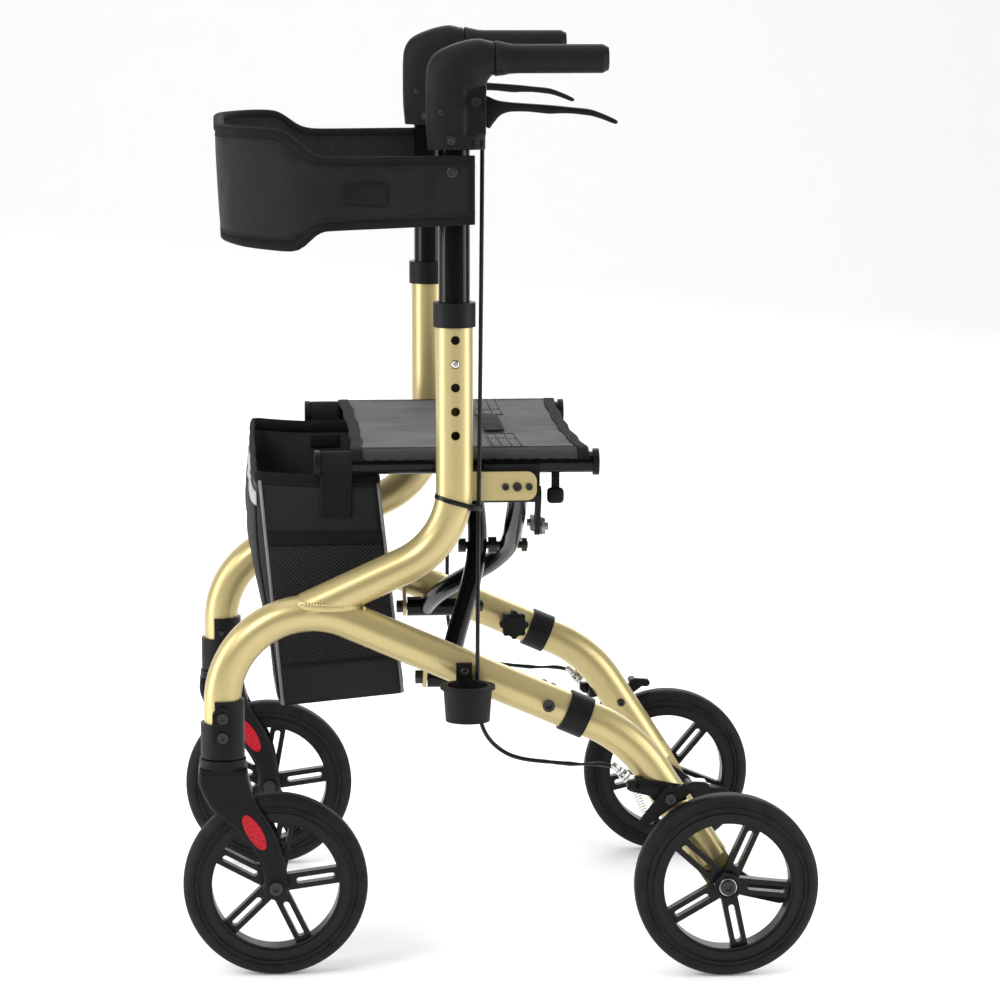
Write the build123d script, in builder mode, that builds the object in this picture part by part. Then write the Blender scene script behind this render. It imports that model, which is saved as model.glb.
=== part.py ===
from build123d import *
import os

# Rollator walker. Millimetres, +Z up, +X towards the user, -Y is the walker's left side.
# Drawn about the plane half way between the side frames, then moved sideways on export, so that
# the origin is on the floor at the middle of the overall length and the overall width.

FRAME_Y = 244.0          # side frame centre plane
TUBE_R, TUBE_BORE = 19.0, 17.0
WHEEL_X, WHEEL_R = 231.5, 95.0
REAR_Y = 281.0           # rear wheel centre plane
SWIVEL_X = -284.5
UPRIGHT_X = -46.0
HINGE_Y, HINGE_Z = 213.0, 303.0      # lower hinge of the cross members
PIVOT_Z = 406.5                      # crossing point of the members, at y = 0
RAIL_Y, RAIL_Z, RAIL_R = 212.0, 526.0, 11.0
LINK_Y, LINK_Z = 205.0, 458.0        # frame end of the upper links
LINK_FAR_Y, LINK_FAR_Z = 60.0, 440.0
HOLES_Z = [657.6, 633.2, 609.3, 584.8, 560.3]
BUTTON_Z = HOLES_Z[1]
KNOB_X, KNOB_Z = 49.0, 281.0
CUP_X, CUP_Y, CUP_R = -36.0, 294.5, 28.0
AXLE_END_Y = 303.0                   # outer end of the rear axles
SIDE_SHIFT = (CUP_Y + CUP_R - AXLE_END_Y) / 2
ARM_X, ARM_Z = 173.9, 183.5          # brake arm pivot
LEVER_X, LEVER_Z = -24.9, 897.8      # brake lever pivot
BRACKET_BOLTS = [6.4, 18.4, 30.6]
HOUSING_BOLTS = [273.0, 253.2]

MAIN = [(SWIVEL_X, 237), (SWIVEL_X, 425), (78.8, 268.1)]
UPPER = [(UPRIGHT_X, 690), (UPRIGHT_X, 448.2), (-198, 379.1)]
LEG = [(79.3, 267.9), (134.7, 244.1), (219, 114.3)]
SPIGOT = [(22.3, 292.5), (90, 263.3)]
COLLAR = [(67.3, 273.1), (90.3, 263.1)]


# ---------------------------------------------------------------- helpers
def xz(y):
    """Plane of constant y with sketch axes along +X and +Z; its normal is -Y."""
    return Plane.XZ.offset(-y)


def swept(points, bend, y, radius):
    """Round bar along a bent path lying at constant y."""
    with BuildPart() as bar:
        with BuildLine(xz(y)) as path:
            FilletPolyline(*points, radius=bend)
        with BuildSketch(Plane(origin=path.line @ 0, z_dir=path.line % 0)):
            Circle(radius)
        sweep(path=path.line)
    return bar.part


def rod(start, end, radius):
    """Straight round bar between two points."""
    axis = Vector(*end) - Vector(*start)
    with BuildPart() as bar:
        with BuildSketch(Plane(origin=start, z_dir=axis)):
            Circle(radius)
        extrude(amount=axis.length)
    return bar.part


def curved(points, radius):
    """Round bar along a smooth curve through points in space."""
    with BuildPart() as bar:
        with BuildLine() as path:
            Spline(*points)
        with BuildSketch(Plane(origin=path.line @ 0, z_dir=path.line % 0)):
            Circle(radius)
        sweep(path=path.line)
    return bar.part


def hull(plane, circles, thickness):
    """Plate whose outline is the hull of circles given as (u, v, radius)."""
    with BuildPart() as plate:
        with BuildSketch(plane):
            for u, v, radius in circles:
                with Locations((u, v)):
                    Circle(radius)
            make_hull()
        extrude(amount=thickness)
    return plate.part


def plate(plane, points, thickness):
    """Plate with a straight-sided outline."""
    with BuildPart() as flat:
        with BuildSketch(plane):
            Polygon(*points, align=None)
        extrude(amount=thickness)
    return flat.part


def screw(seat, end, shank, head, height):
    """Cap screw: hexagon-socket head outside its seat, plain shank to the end point."""
    axis = Vector(*end) - Vector(*seat)
    under_head = Plane(origin=seat, z_dir=axis)
    with BuildPart() as bolt:
        with BuildSketch(under_head):
            Circle(shank)
        extrude(amount=axis.length)
        with BuildSketch(under_head):
            Circle(head)
        extrude(amount=-height)
        with BuildSketch(under_head.offset(-height)):
            RegularPolygon(head * 0.5, 6)
        extrude(amount=height * 0.6, mode=Mode.SUBTRACT)
    return bolt.part


def at(x, y, z):
    return Location((x, y, z))


# ---------------------------------------------------------------- side frame
def frame_body():
    main, main_bore = swept(MAIN, 92, -FRAME_Y, TUBE_R), swept(MAIN, 92, -FRAME_Y, TUBE_BORE)
    upper = swept(UPPER, 88, -FRAME_Y, TUBE_R)
    upper_bore = swept(UPPER, 88, -FRAME_Y, TUBE_BORE)
    with BuildPart() as body:
        add(main)
        add(upper)
        # hinge tabs for the cross member, fore and aft of its longitudinal tube
        for x, z in [(-78, 335), (2, 300.4)]:
            add(hull(Plane.YZ.offset(x), [(-FRAME_Y, z, 14), (-HINGE_Y, HINGE_Z, 11)], 4))
        # bracket plate for the rail cradle, welded to the rear of the upright
        with BuildSketch(xz(-235)) as sk:
            with Locations((4.5, 505.2)):
                Rectangle(68, 29.5)
            fillet(sk.vertices().sort_by(Axis.X)[-2:], 10)
        extrude(amount=5)
        add(main_bore, mode=Mode.SUBTRACT)
        add(upper_bore, mode=Mode.SUBTRACT)
        for z in HOLES_Z:
            add(rod((UPRIGHT_X, -270, z), (UPRIGHT_X, -FRAME_Y, z), 4.6), mode=Mode.SUBTRACT)
        for z in HOUSING_BOLTS:
            add(rod((SWIVEL_X, -270, z), (SWIVEL_X, -220, z), 3.2), mode=Mode.SUBTRACT)
        for x in BRACKET_BOLTS:
            add(rod((x, -243, 504.4), (x, -234, 504.4), 2.7), mode=Mode.SUBTRACT)
        add(rod((KNOB_X, -270, KNOB_Z), (KNOB_X, -220, KNOB_Z), 4.3), mode=Mode.SUBTRACT)
        add(rod((-90, -HINGE_Y, HINGE_Z), (20, -HINGE_Y, HINGE_Z), 4.3), mode=Mode.SUBTRACT)
    return body


side_frame = frame_body()


def leg_body():
    tube, bore = swept(LEG, 139, -FRAME_Y, TUBE_R), swept(LEG, 139, -FRAME_Y, TUBE_BORE)
    foot = hull(xz(-FRAME_Y + 12), [(214, 122, 18), (WHEEL_X, WHEEL_R, 17)], 24)
    spigot = [(p[0], -FRAME_Y, p[1]) for p in SPIGOT]
    mouth = [(79.3, -FRAME_Y, 267.9), (84.8, -FRAME_Y, 265.5)]
    with BuildPart() as body:
        add(tube)
        add(bore, mode=Mode.SUBTRACT)
        add(rod(*mouth, 17.5))
        add(rod(*spigot, 16.7))
        add(foot)
        add(rod(*spigot, 14.5), mode=Mode.SUBTRACT)
        add(rod((KNOB_X, -270, KNOB_Z), (KNOB_X, -220, KNOB_Z), 4.3), mode=Mode.SUBTRACT)
        add(rod((WHEEL_X, -270, WHEEL_R), (WHEEL_X, -220, WHEEL_R), 4.2), mode=Mode.SUBTRACT)
        add(rod((ARM_X, -270, ARM_Z), (ARM_X, -245, ARM_Z), 3.2), mode=Mode.SUBTRACT)
    return body


rear_leg = leg_body()

collar_ends = [(p[0], -FRAME_Y, p[1]) for p in COLLAR]
with BuildPart() as tube_collars:
    add(rod(*collar_ends, 21.7))
    add(rod(*collar_ends, 19.2), mode=Mode.SUBTRACT)
    add(rod((UPRIGHT_X, -FRAME_Y, 670), (UPRIGHT_X, -FRAME_Y, 695), 21.75))
    add(rod((UPRIGHT_X, -FRAME_Y, 669), (UPRIGHT_X, -FRAME_Y, 690.4), 19.2), mode=Mode.SUBTRACT)
    add(rod((UPRIGHT_X, -FRAME_Y, 690), (UPRIGHT_X, -FRAME_Y, 696), 16.3), mode=Mode.SUBTRACT)


# ---------------------------------------------------------------- rail cradle
def cradle_body(lug_x):
    """Saddle under the seat rail with one lug that takes the upper link."""
    profile = [(-234.9, 526), (-234.9, 494), (-224, 486), (-214, 494), (-214, 526)]
    lug = [(-224, 494, 9), (-LINK_Y, LINK_Z, 9)]
    with BuildPart() as body:
        add(plate(Plane.YZ.offset(-15), profile, 57))
        add(hull(Plane.YZ.offset(lug_x), lug, 5))
        add(rod((-30, -RAIL_Y, RAIL_Z), (60, -RAIL_Y, RAIL_Z), 11.5), mode=Mode.SUBTRACT)
        add(rod((-30, -LINK_Y, LINK_Z), (60, -LINK_Y, LINK_Z), 4.2), mode=Mode.SUBTRACT)
        for x in BRACKET_BOLTS:
            add(rod((x, -243, 504.4), (x, -226, 504.4), 2.7), mode=Mode.SUBTRACT)
    return body


rail_cradle_left = cradle_body(39)
rail_cradle_right_source = cradle_body(-20)

# ---------------------------------------------------------------- caster
with BuildPart() as caster_housing:
    add(rod((SWIVEL_X, -FRAME_Y, 229), (SWIVEL_X, -FRAME_Y, 289), 22.5))
    with Locations((SWIVEL_X - 20, -FRAME_Y, 289)):
        Box(24, 60, 48, mode=Mode.SUBTRACT)
    add(hull(xz(-FRAME_Y - 12), [(SWIVEL_X, 274, 10.5), (SWIVEL_X, 252, 10.5)], 13))
    add(rod((SWIVEL_X, -FRAME_Y, 236.8), (SWIVEL_X, -FRAME_Y, 300), 19.2), mode=Mode.SUBTRACT)
    add(rod((SWIVEL_X, -FRAME_Y, 230), (SWIVEL_X, -FRAME_Y, 245), 16.7))
    add(rod((SWIVEL_X, -FRAME_Y, 228), (SWIVEL_X, -FRAME_Y, 250), 6.3), mode=Mode.SUBTRACT)
    for bolt_z in HOUSING_BOLTS:
        add(rod((SWIVEL_X, -270, bolt_z), (SWIVEL_X, -218, bolt_z), 3.2), mode=Mode.SUBTRACT)

FORK_FRONT = [(-308.8, 218), (-309.5, 206), (-304.7, 192), (-295.2, 176), (-277.8, 159.8),
              (-264.3, 145.5), (-250.6, 125.1), (-244.8, 109.3), (-244.6, 95)]
FORK_REAR = [(-218.4, 95), (-220.3, 107), (-223.1, 124.7), (-228.9, 145), (-238.6, 165.2),
             (-250.2, 183.4), (-256.9, 200), (-259.6, 218)]
REFLECTOR = Location((-253.3, 153.9), -60)

with BuildPart() as caster_fork:
    with BuildSketch(xz(-FRAME_Y + 25)):
        with BuildLine():
            Spline(*FORK_FRONT)
            ThreePointArc(FORK_FRONT[-1], (-231.5, 81.5), FORK_REAR[0])
            Spline(*FORK_REAR)
            Line(FORK_REAR[-1], FORK_FRONT[0])
        make_face()
    extrude(amount=50)
    fillet(faces().sort_by(Axis.Y)[0].edges(), 5)
    fillet(faces().sort_by(Axis.Y)[-1].edges(), 5)
    with BuildSketch(xz(-FRAME_Y + 18.5)):
        with Locations((-WHEEL_X, WHEEL_R)):
            Circle(WHEEL_R + 6)
    extrude(amount=37, mode=Mode.SUBTRACT)
    add(rod((SWIVEL_X, -FRAME_Y, 214), (SWIVEL_X, -FRAME_Y, 227.6), 24))
    add(rod((SWIVEL_X, -FRAME_Y, 227), (SWIVEL_X, -FRAME_Y, 244), 6))
    add(rod((-WHEEL_X, -275, WHEEL_R), (-WHEEL_X, -213, WHEEL_R), 4.1), mode=Mode.SUBTRACT)
    for outer_y in [-268, -FRAME_Y + 24]:
        with BuildSketch(xz(outer_y)) as pocket:
            with Locations(REFLECTOR):
                Ellipse(21.2, 8.2)
        extrude(amount=1.1 if outer_y < -FRAME_Y else -1.1, mode=Mode.SUBTRACT)

with BuildPart() as fork_reflectors:
    for outer_y in [-268.1, -FRAME_Y + 24.1]:
        with BuildSketch(xz(outer_y)) as lens:
            with Locations(REFLECTOR):
                Ellipse(20.8, 7.8)
        extrude(amount=1.4 if outer_y < -FRAME_Y else -1.4)

with BuildPart() as front_axle:
    add(screw((-WHEEL_X, -269.2, WHEEL_R), (-WHEEL_X, -212, WHEEL_R), 3.9, 7, 4))
    add(screw((-WHEEL_X, -218.8, WHEEL_R), (-WHEEL_X, -222, WHEEL_R), 3.9, 7, 6))


# ---------------------------------------------------------------- wheels
SPOKES, RIM_IN, RIM_OUT, HUB_R = 5, 65.6, 79.2, 14.0


def wheel_body(x, y, tilt):
    """Moulded wheel centre: stepped rim, hub and five slotted spokes."""
    with BuildPart() as body:
        with BuildSketch(Plane.XZ.offset(0)):
            Circle(RIM_OUT)
            Circle(RIM_IN, mode=Mode.SUBTRACT)
        extrude(amount=12, both=True)
        with BuildSketch(Plane.XZ.offset(0)):
            Circle(RIM_OUT - 3)
            Circle(RIM_IN + 3, mode=Mode.SUBTRACT)
        extrude(amount=14, both=True)
        with BuildSketch(Plane.XZ):
            Circle(HUB_R)
        extrude(amount=16.5, both=True)
        with BuildSketch(Plane.XZ):
            with PolarLocations(0, SPOKES, start_angle=tilt):
                with Locations((40, 0)):
                    Rectangle(56, 17)
        extrude(amount=6, both=True)
        with BuildSketch(Plane.XZ):
            with PolarLocations(0, SPOKES, start_angle=tilt):
                with Locations((41.5, 0)):
                    SlotOverall(40, 6.5)
        extrude(amount=20, both=True, mode=Mode.SUBTRACT)
        with BuildSketch(Plane.XZ):
            Circle(4.2)
        extrude(amount=30, both=True, mode=Mode.SUBTRACT)
        for side in (1, -1):
            with BuildSketch(Plane.XZ.offset(side * 10.5)):
                Circle(9.2)
            extrude(amount=side * 20, mode=Mode.SUBTRACT)
    return at(x, y, WHEEL_R) * body.part


def tyre_body(x, y):
    """Solid polyurethane tyre with a rounded crown, seated on the rim."""
    with BuildPart() as body:
        with BuildSketch(Plane.XY):
            with Locations((RIM_OUT + 0.1, 0)):
                Rectangle(WHEEL_R - RIM_OUT - 0.1, 30, align=(Align.MIN, Align.CENTER))
            fillet(vertices().group_by(Axis.X)[-1], 10)
            fillet(vertices().group_by(Axis.X)[0], 1.5)
        revolve(axis=Axis.Y)
        with BuildSketch(Plane.XY) as shoulder:
            with Locations((83.5, 15), (83.5, -15)):
                Circle(0.9)
        revolve(axis=Axis.Y, mode=Mode.SUBTRACT)
    return at(x, y, WHEEL_R) * body.part


def along_adjuster(distance):
    """Point on the axis of the barrel adjuster, measured from its cable end."""
    return (121.5 + 0.731 * distance, -268, 212.8 - 0.682 * distance)


# ---------------------------------------------------------------- frame hardware
with BuildPart() as frame_bolts:
    for x in BRACKET_BOLTS:
        add(screw((x, -240.1, 504.4), (x, -228, 504.4), 2.5, 4.6 if x == 18.4 else 3.6, 2.6))
    for bolt_z in HOUSING_BOLTS:
        add(screw((SWIVEL_X, -269.1, bolt_z), (SWIVEL_X, -219, bolt_z), 3, 5.6, 3))
    add(screw((KNOB_X, -263.1, KNOB_Z), (KNOB_X, -209, KNOB_Z), 4, 6.2, 5))
    add(screw((WHEEL_X, -298.5, WHEEL_R), (WHEEL_X, -218, WHEEL_R), 4, 7.5, 4.5))
    add(rod((WHEEL_X, -223.5, WHEEL_R), (WHEEL_X, -218, WHEEL_R), 7))
    add(screw((-78.1, -HINGE_Y, HINGE_Z), (14, -HINGE_Y, HINGE_Z), 4, 7, 7))
    add(rod((6.1, -HINGE_Y, HINGE_Z), (13, -HINGE_Y, HINGE_Z), 7))
    add(screw((ARM_X, -274.5, ARM_Z), (ARM_X, -246, ARM_Z), 3, 5.5, 3))
    # hollow barrel adjuster of the brake cable
    add(rod(along_adjuster(0), along_adjuster(11), 4.4))
    add(rod(along_adjuster(4), along_adjuster(7), 5.6))
    add(rod(along_adjuster(-4), along_adjuster(15), 3.1), mode=Mode.SUBTRACT)

with BuildPart() as star_knob:
    with BuildSketch(xz(-206)):
        with Locations((KNOB_X, KNOB_Z)):
            Circle(14)
            with PolarLocations(13, 8):
                Circle(3.6)
            Circle(4.2, mode=Mode.SUBTRACT)
    extrude(amount=12)
    add(rod((KNOB_X, -225, KNOB_Z), (KNOB_X, -217.5, KNOB_Z), 10.5))
    add(rod((KNOB_X, -208.5, KNOB_Z), (KNOB_X, -205, KNOB_Z), 10))
    add(rod((KNOB_X, -230, KNOB_Z), (KNOB_X, -208.6, KNOB_Z), 4.2), mode=Mode.SUBTRACT)
    add(rod((KNOB_X, -208.8, KNOB_Z), (KNOB_X, -207.6, KNOB_Z), 4.6), mode=Mode.SUBTRACT)

with BuildPart() as tip_pedal:
    add(hull(xz(-223.6), [(WHEEL_X, WHEEL_R, 14), (258, 80, 10)], 8))
    add(hull(xz(-219), [(256, 80, 9), (292, 74, 9), (294, 71, 9)], 18))
    add(rod((WHEEL_X, -240, WHEEL_R), (WHEEL_X, -210, WHEEL_R), 4.2), mode=Mode.SUBTRACT)

# ---------------------------------------------------------------- rear brake
CLAMP_AXIS = [(163.2, -FRAME_Y, 200.2), (172.6, -FRAME_Y, 185.7)]
LUG = [(129, 193.5), (142, 202), (166, 198.5), (182, 192), (180, 178), (166, 180), (152, 190.5),
       (131, 189)]
LEVER_PLATE = [(141.8, 160.6), (146.4, 152.6), (183, 180), (182, 192), (174, 197), (168, 194)]
with BuildPart() as brake_bracket:
    add(rod(*CLAMP_AXIS, 21.5))
    add(plate(xz(-263.5), LUG, 4))
    add(rod((163.2 - 20, -FRAME_Y, 200.2 + 31), (172.6 + 20, -FRAME_Y, 185.7 - 31), 19.3),
        mode=Mode.SUBTRACT)
    add(rod(along_adjuster(11.3), along_adjuster(20), 5.6))
    add(rod(along_adjuster(9), along_adjuster(32), 2.6), mode=Mode.SUBTRACT)
    add(rod((ARM_X, -270, ARM_Z), (ARM_X, -250, ARM_Z), 3.2), mode=Mode.SUBTRACT)

with BuildPart() as brake_arm:
    add(plate(xz(-270.3), LEVER_PLATE, 4))
    add(hull(xz(-270.3), [(ARM_X, ARM_Z, 8), (198, 198, 5)], 4))
    add(hull(xz(-270.3), [(192, 200, 4), (208, 199, 4)], 20))
    add(rod((ARM_X, -280, ARM_Z), (ARM_X, -265, ARM_Z), 3.2), mode=Mode.SUBTRACT)

CABLE = [(-17.5, -246, 862), (-19, -247, 700), (-21.5, -249, 500), (-23, -256, 420),
         (-24, -265.6, 345), (-24, -265.8, 300), (-15, -267.5, 252), (8, -268, 231.5),
         (45, -268, 223.5), (85, -268, 220), (107, -268, 219), along_adjuster(0),
         along_adjuster(5), along_adjuster(10.5)]
with BuildPart() as brake_cable:
    add(curved(CABLE, 2.2))

# ---------------------------------------------------------------- handle
with BuildPart() as height_tube:
    add(rod((UPRIGHT_X, -FRAME_Y, 604), (UPRIGHT_X, -FRAME_Y, 896), 16))
    add(rod((UPRIGHT_X, -FRAME_Y, 600), (UPRIGHT_X, -FRAME_Y, 900), 14), mode=Mode.SUBTRACT)
    add(rod((UPRIGHT_X, -270, BUTTON_Z), (UPRIGHT_X, -FRAME_Y, BUTTON_Z), 4.5), mode=Mode.SUBTRACT)

with BuildPart() as snap_button:
    add(rod((UPRIGHT_X, -264.5, BUTTON_Z), (UPRIGHT_X, -252, BUTTON_Z), 4.2))
    fillet(edges().filter_by(GeomType.CIRCLE).sort_by(Axis.Y)[0], 2.5)
    # leaf spring that carries the button inside the tube
    with Locations((UPRIGHT_X, -256.3, BUTTON_Z - 10)):
        Box(8, 1, 36)

HOUSING = [(-70.6, 849), (-74.4, 900), (-74.4, 922), (-70, 934), (-58, 943), (-38, 953.5),
           (-20.3, 960), (-5.5, 957), (-5.5, 922), (-13, 917), (-13, 872), (-16.1, 849)]
with BuildPart() as handle_housing:
    add(plate(xz(-FRAME_Y + 20), HOUSING, 40))
    fillet(faces().sort_by(Axis.Y)[0].edges(), 7)
    fillet(faces().sort_by(Axis.Y)[-1].edges(), 7)
    add(rod((-12, -FRAME_Y, 939.8), (92, -FRAME_Y, 939.8), 9.8))
    add(rod((UPRIGHT_X, -FRAME_Y, 840), (UPRIGHT_X, -FRAME_Y, 898), 16.15), mode=Mode.SUBTRACT)
    add(plate(xz(-FRAME_Y + 7.6), [(-34, 853), (-5, 853), (-5, 915), (-34, 908)], 15.2),
        mode=Mode.SUBTRACT)
    add(rod((-17.5, -246, 845), (-17.5, -246, 860), 3.2), mode=Mode.SUBTRACT)
    add(rod((LEVER_X, -270, LEVER_Z), (LEVER_X, -220, LEVER_Z), 3.1), mode=Mode.SUBTRACT)

GRIP = [(-5, 17.2), (3, 16.8), (10, 15.2), (18, 14.7), (104, 14.6), (110, 11.6), (110, 0),
        (93, 0), (93, 9.9), (-5, 9.9)]
with BuildPart() as grip:
    with BuildSketch(Plane.XZ):
        Polygon(*GRIP, align=None)
    revolve(axis=Axis.X)
grip_placed = at(0, -FRAME_Y, 939.8) * grip.part

LEVER_TOP = [(-20, 906), (-5, 903), (15, 897.5), (60, 894.5), (90, 892), (110, 886), (119.6, 877)]
LEVER_BOTTOM = [(116, 873.5), (104, 879), (80, 882.5), (50, 884), (25, 882.5), (8, 876), (-6, 866)]
with BuildPart() as brake_lever:
    with BuildSketch(xz(-FRAME_Y + 6.5)):
        with BuildLine():
            Spline(*LEVER_TOP)
            Line(LEVER_TOP[-1], LEVER_BOTTOM[0])
            Spline(*LEVER_BOTTOM)
            Line(LEVER_BOTTOM[-1], (-28, 884))
            Line((-28, 884), LEVER_TOP[0])
        make_face()
    extrude(amount=13)
    add(rod((LEVER_X, -270, LEVER_Z), (LEVER_X, -220, LEVER_Z), 3.1), mode=Mode.SUBTRACT)

with BuildPart() as handle_screws:
    add(screw((LEVER_X, -264.1, LEVER_Z), (LEVER_X, -226, LEVER_Z), 3, 5, 2.5))

# ---------------------------------------------------------------- folding cross
MEMBER_A = [(-50, -HINGE_Y, HINGE_Z), (-42, -160, 327), (-18, -60, 374), (-7, 0, PIVOT_Z),
            (-7, 110, 467), (-7, RAIL_Y, RAIL_Z)]
MEMBER_B = [(-50, HINGE_Y, HINGE_Z), (-42, 170, 323), (-16, 105, 353), (14, 45, 383),
            (27, 0, PIVOT_Z), (29, -45, 430.5), (28, -120, 473.5), (24, -RAIL_Y, RAIL_Z)]


def cross_body(points, side, pivot_x):
    """Lower hinge tube, S-shaped member and seat rail; side is the rail's side."""
    hinge_y, rail_y = -side * HINGE_Y, side * RAIL_Y
    with BuildPart() as body:
        add(curved(points, 10.5))
        add(rod((-73, hinge_y, HINGE_Z), (1, hinge_y, HINGE_Z), 11))
        add(rod((-182, rail_y, RAIL_Z), (98.5, rail_y, RAIL_Z), RAIL_R))
        add(rod((-182, rail_y, RAIL_Z), (98.5, rail_y, RAIL_Z), 9.2), mode=Mode.SUBTRACT)
        add(rod((-80, hinge_y, HINGE_Z), (10, hinge_y, HINGE_Z), 4.3), mode=Mode.SUBTRACT)
        add(rod((pivot_x - 20, 0, PIVOT_Z), (pivot_x + 20, 0, PIVOT_Z), 4.2), mode=Mode.SUBTRACT)
    return body


cross_a = cross_body(MEMBER_A, 1, -7)
cross_b = cross_body(MEMBER_B, -1, 27)

with BuildPart() as cross_pivot:
    add(screw((-19.4, 0, PIVOT_Z), (48, 0, PIVOT_Z), 4, 7.5, 8))
    add(rod((41.5, 0, PIVOT_Z), (47, 0, PIVOT_Z), 7.5))
    add(rod((5.2, 0, PIVOT_Z), (13.8, 0, PIVOT_Z), 9))


def rail_caps_body(side):
    """Plug and end disc at both ends of a seat rail."""
    y = side * RAIL_Y
    with BuildPart() as caps:
        for x, out in [(-182, -1), (98.5, 1)]:
            add(rod((x - out * 14, y, RAIL_Z), (x + out * 3, y, RAIL_Z), 9.1))
            add(rod((x + out * 0.1, y, RAIL_Z), (x + out * 6, y, RAIL_Z), 13.8))
    return caps


def link_body(side, frame_x, far_x0, far_x1):
    """Cast link: plate, frame-end pin and far pin, the far pin free of the member."""
    ends = [(side * LINK_Y, LINK_Z, 8.5), (side * LINK_FAR_Y, LINK_FAR_Z, 8.5)]
    with BuildPart() as body:
        add(hull(Plane.YZ.offset(frame_x), ends, 3.5))
        for (y, z, _), (x0, x1) in zip(ends, [(min(frame_x, far_x0 - 4), max(frame_x, far_x1)),
                                              (far_x0, far_x1)]):
            add(rod((x0, y, z), (x1, y, z), 3.9))
    return body


link_left = link_body(-1, 46, 42.5, 53)
link_right = link_body(1, -25, -29, -19)


# ---------------------------------------------------------------- seat, bag, backrest
SEAT_X0, SEAT_X1, SEAT_STOP = -148.0, 91.0, 36.0


def seat_body(side):
    """One half of the seat sling with its sleeves round the rail."""
    y = side * RAIL_Y
    with BuildPart() as body:
        for x0, x1 in [(SEAT_X0, -22), (46, SEAT_X1)]:
            add(rod((x0, y, RAIL_Z), (x1, y, RAIL_Z), 12.8))
        with Locations(((SEAT_X0 + SEAT_X1) / 2, side * (RAIL_Y + SEAT_STOP) / 2, 539.4)):
            Box(SEAT_X1 - SEAT_X0, RAIL_Y - SEAT_STOP, 3.6)
        add(rod((-200, y, RAIL_Z), (120, y, RAIL_Z), 11.3), mode=Mode.SUBTRACT)
    return body


BACK_SIDE = [(-20, 775), (-168, 769), (-196, 757), (-222, 750), (-250, 748), (-300, 748), (-300, 868),
             (-288, 872), (-222, 872), (-200, 860), (-180, 848), (-160, 843), (-20, 844)]
with BuildPart() as backrest:
    with BuildSketch(Plane.XY.offset(745)):
        with BuildLine() as back_line:
            FilletPolyline((-27, -267), (-282, -267), (-282, 267), (-27, 267), radius=112)
        trace(line_width=11)
    extrude(amount=130)
    add(plate(xz(300), BACK_SIDE, 600), mode=Mode.INTERSECT)

BAG_SIDE = [(-247.6, 518), (-119, 512), (-96, 283.4), (-221.4, 276.5)]
with BuildPart() as bag:
    with BuildSketch(xz(192)):
        Polygon(*BAG_SIDE, align=None)
    extrude(amount=388)
    with BuildSketch(xz(188)):
        Polygon((-243, 521), (-123, 515), (-100, 288), (-217, 281), align=None)
    extrude(amount=380, mode=Mode.SUBTRACT)

with BuildPart() as cane_cup:
    with BuildSketch(Plane.XY.offset(273)):
        with Locations((CUP_X, -CUP_Y)):
            Circle(22.5)
    extrude(amount=36, taper=-4)
    with BuildSketch(Plane.XY.offset(306)):
        with Locations((CUP_X, -CUP_Y)):
            Circle(CUP_R)
    extrude(amount=3.5)
    with BuildSketch(Plane.XY.offset(276)):
        with Locations((CUP_X, -CUP_Y)):
            Circle(20.5)
    extrude(amount=33.5, mode=Mode.SUBTRACT)
    add(plate(xz(-263.4), [(-46, 299), (-30, 299), (-30, 327), (-46, 327)], 6))
    add(rod((-38, -270, 320), (-38, -260, 320), 2.6), mode=Mode.SUBTRACT)

# ---------------------------------------------------------------- export
PAIRS = {
    "side_frame": side_frame.part, "rear_leg": rear_leg.part, "tube_collars": tube_collars.part,
    "caster_housing": caster_housing.part, "caster_fork": caster_fork.part,
    "fork_reflectors": fork_reflectors.part, "front_axle": front_axle.part,
    "frame_bolts": frame_bolts.part, "star_knob": star_knob.part, "tip_pedal": tip_pedal.part,
    "brake_bracket": brake_bracket.part, "brake_arm": brake_arm.part,
    "brake_cable": brake_cable.part, "height_tube": height_tube.part,
    "snap_button": snap_button.part, "handle_housing": handle_housing.part,
    "grip": grip_placed, "brake_lever": brake_lever.part, "handle_screws": handle_screws.part,
    "front_wheel": wheel_body(-WHEEL_X, -FRAME_Y, 7.8),
    "front_tyre": tyre_body(-WHEEL_X, -FRAME_Y),
    "rear_tyre": tyre_body(WHEEL_X, -REAR_Y),
}
SINGLES = {
    "rear_wheel_left": wheel_body(WHEEL_X, -REAR_Y, -6.0),
    "rear_wheel_right": wheel_body(WHEEL_X, REAR_Y, -22.0),
    "cross_a": cross_a.part, "cross_b": cross_b.part, "cross_pivot": cross_pivot.part,
    "link_left": link_left.part, "link_right": link_right.part,
    "rail_caps_left": rail_caps_body(-1).part, "rail_caps_right": rail_caps_body(1).part,
    "rail_cradle_left": rail_cradle_left.part,
    "rail_cradle_right": mirror(rail_cradle_right_source.part, about=Plane.XZ),
    "seat_left": seat_body(-1).part, "seat_right": seat_body(1).part,
    "backrest": backrest.part, "bag": bag.part, "cane_cup": cane_cup.part,
}


def save(name, shape):
    """Write one named piece as its own STEP file, in the shared frame."""
    placed = at(0, SIDE_SHIFT, 0) * shape
    placed.label = name
    export_step(placed, f"parts/{name}.step")


os.makedirs("parts", exist_ok=True)
for name, shape in PAIRS.items():
    save(name + "_left", shape)
    save(name + "_right", mirror(shape, about=Plane.XZ))
for name, shape in SINGLES.items():
    save(name, shape)
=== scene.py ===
import math

import bmesh
import bpy
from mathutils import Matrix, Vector, noise
from mathutils.bvhtree import BVHTree


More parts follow.
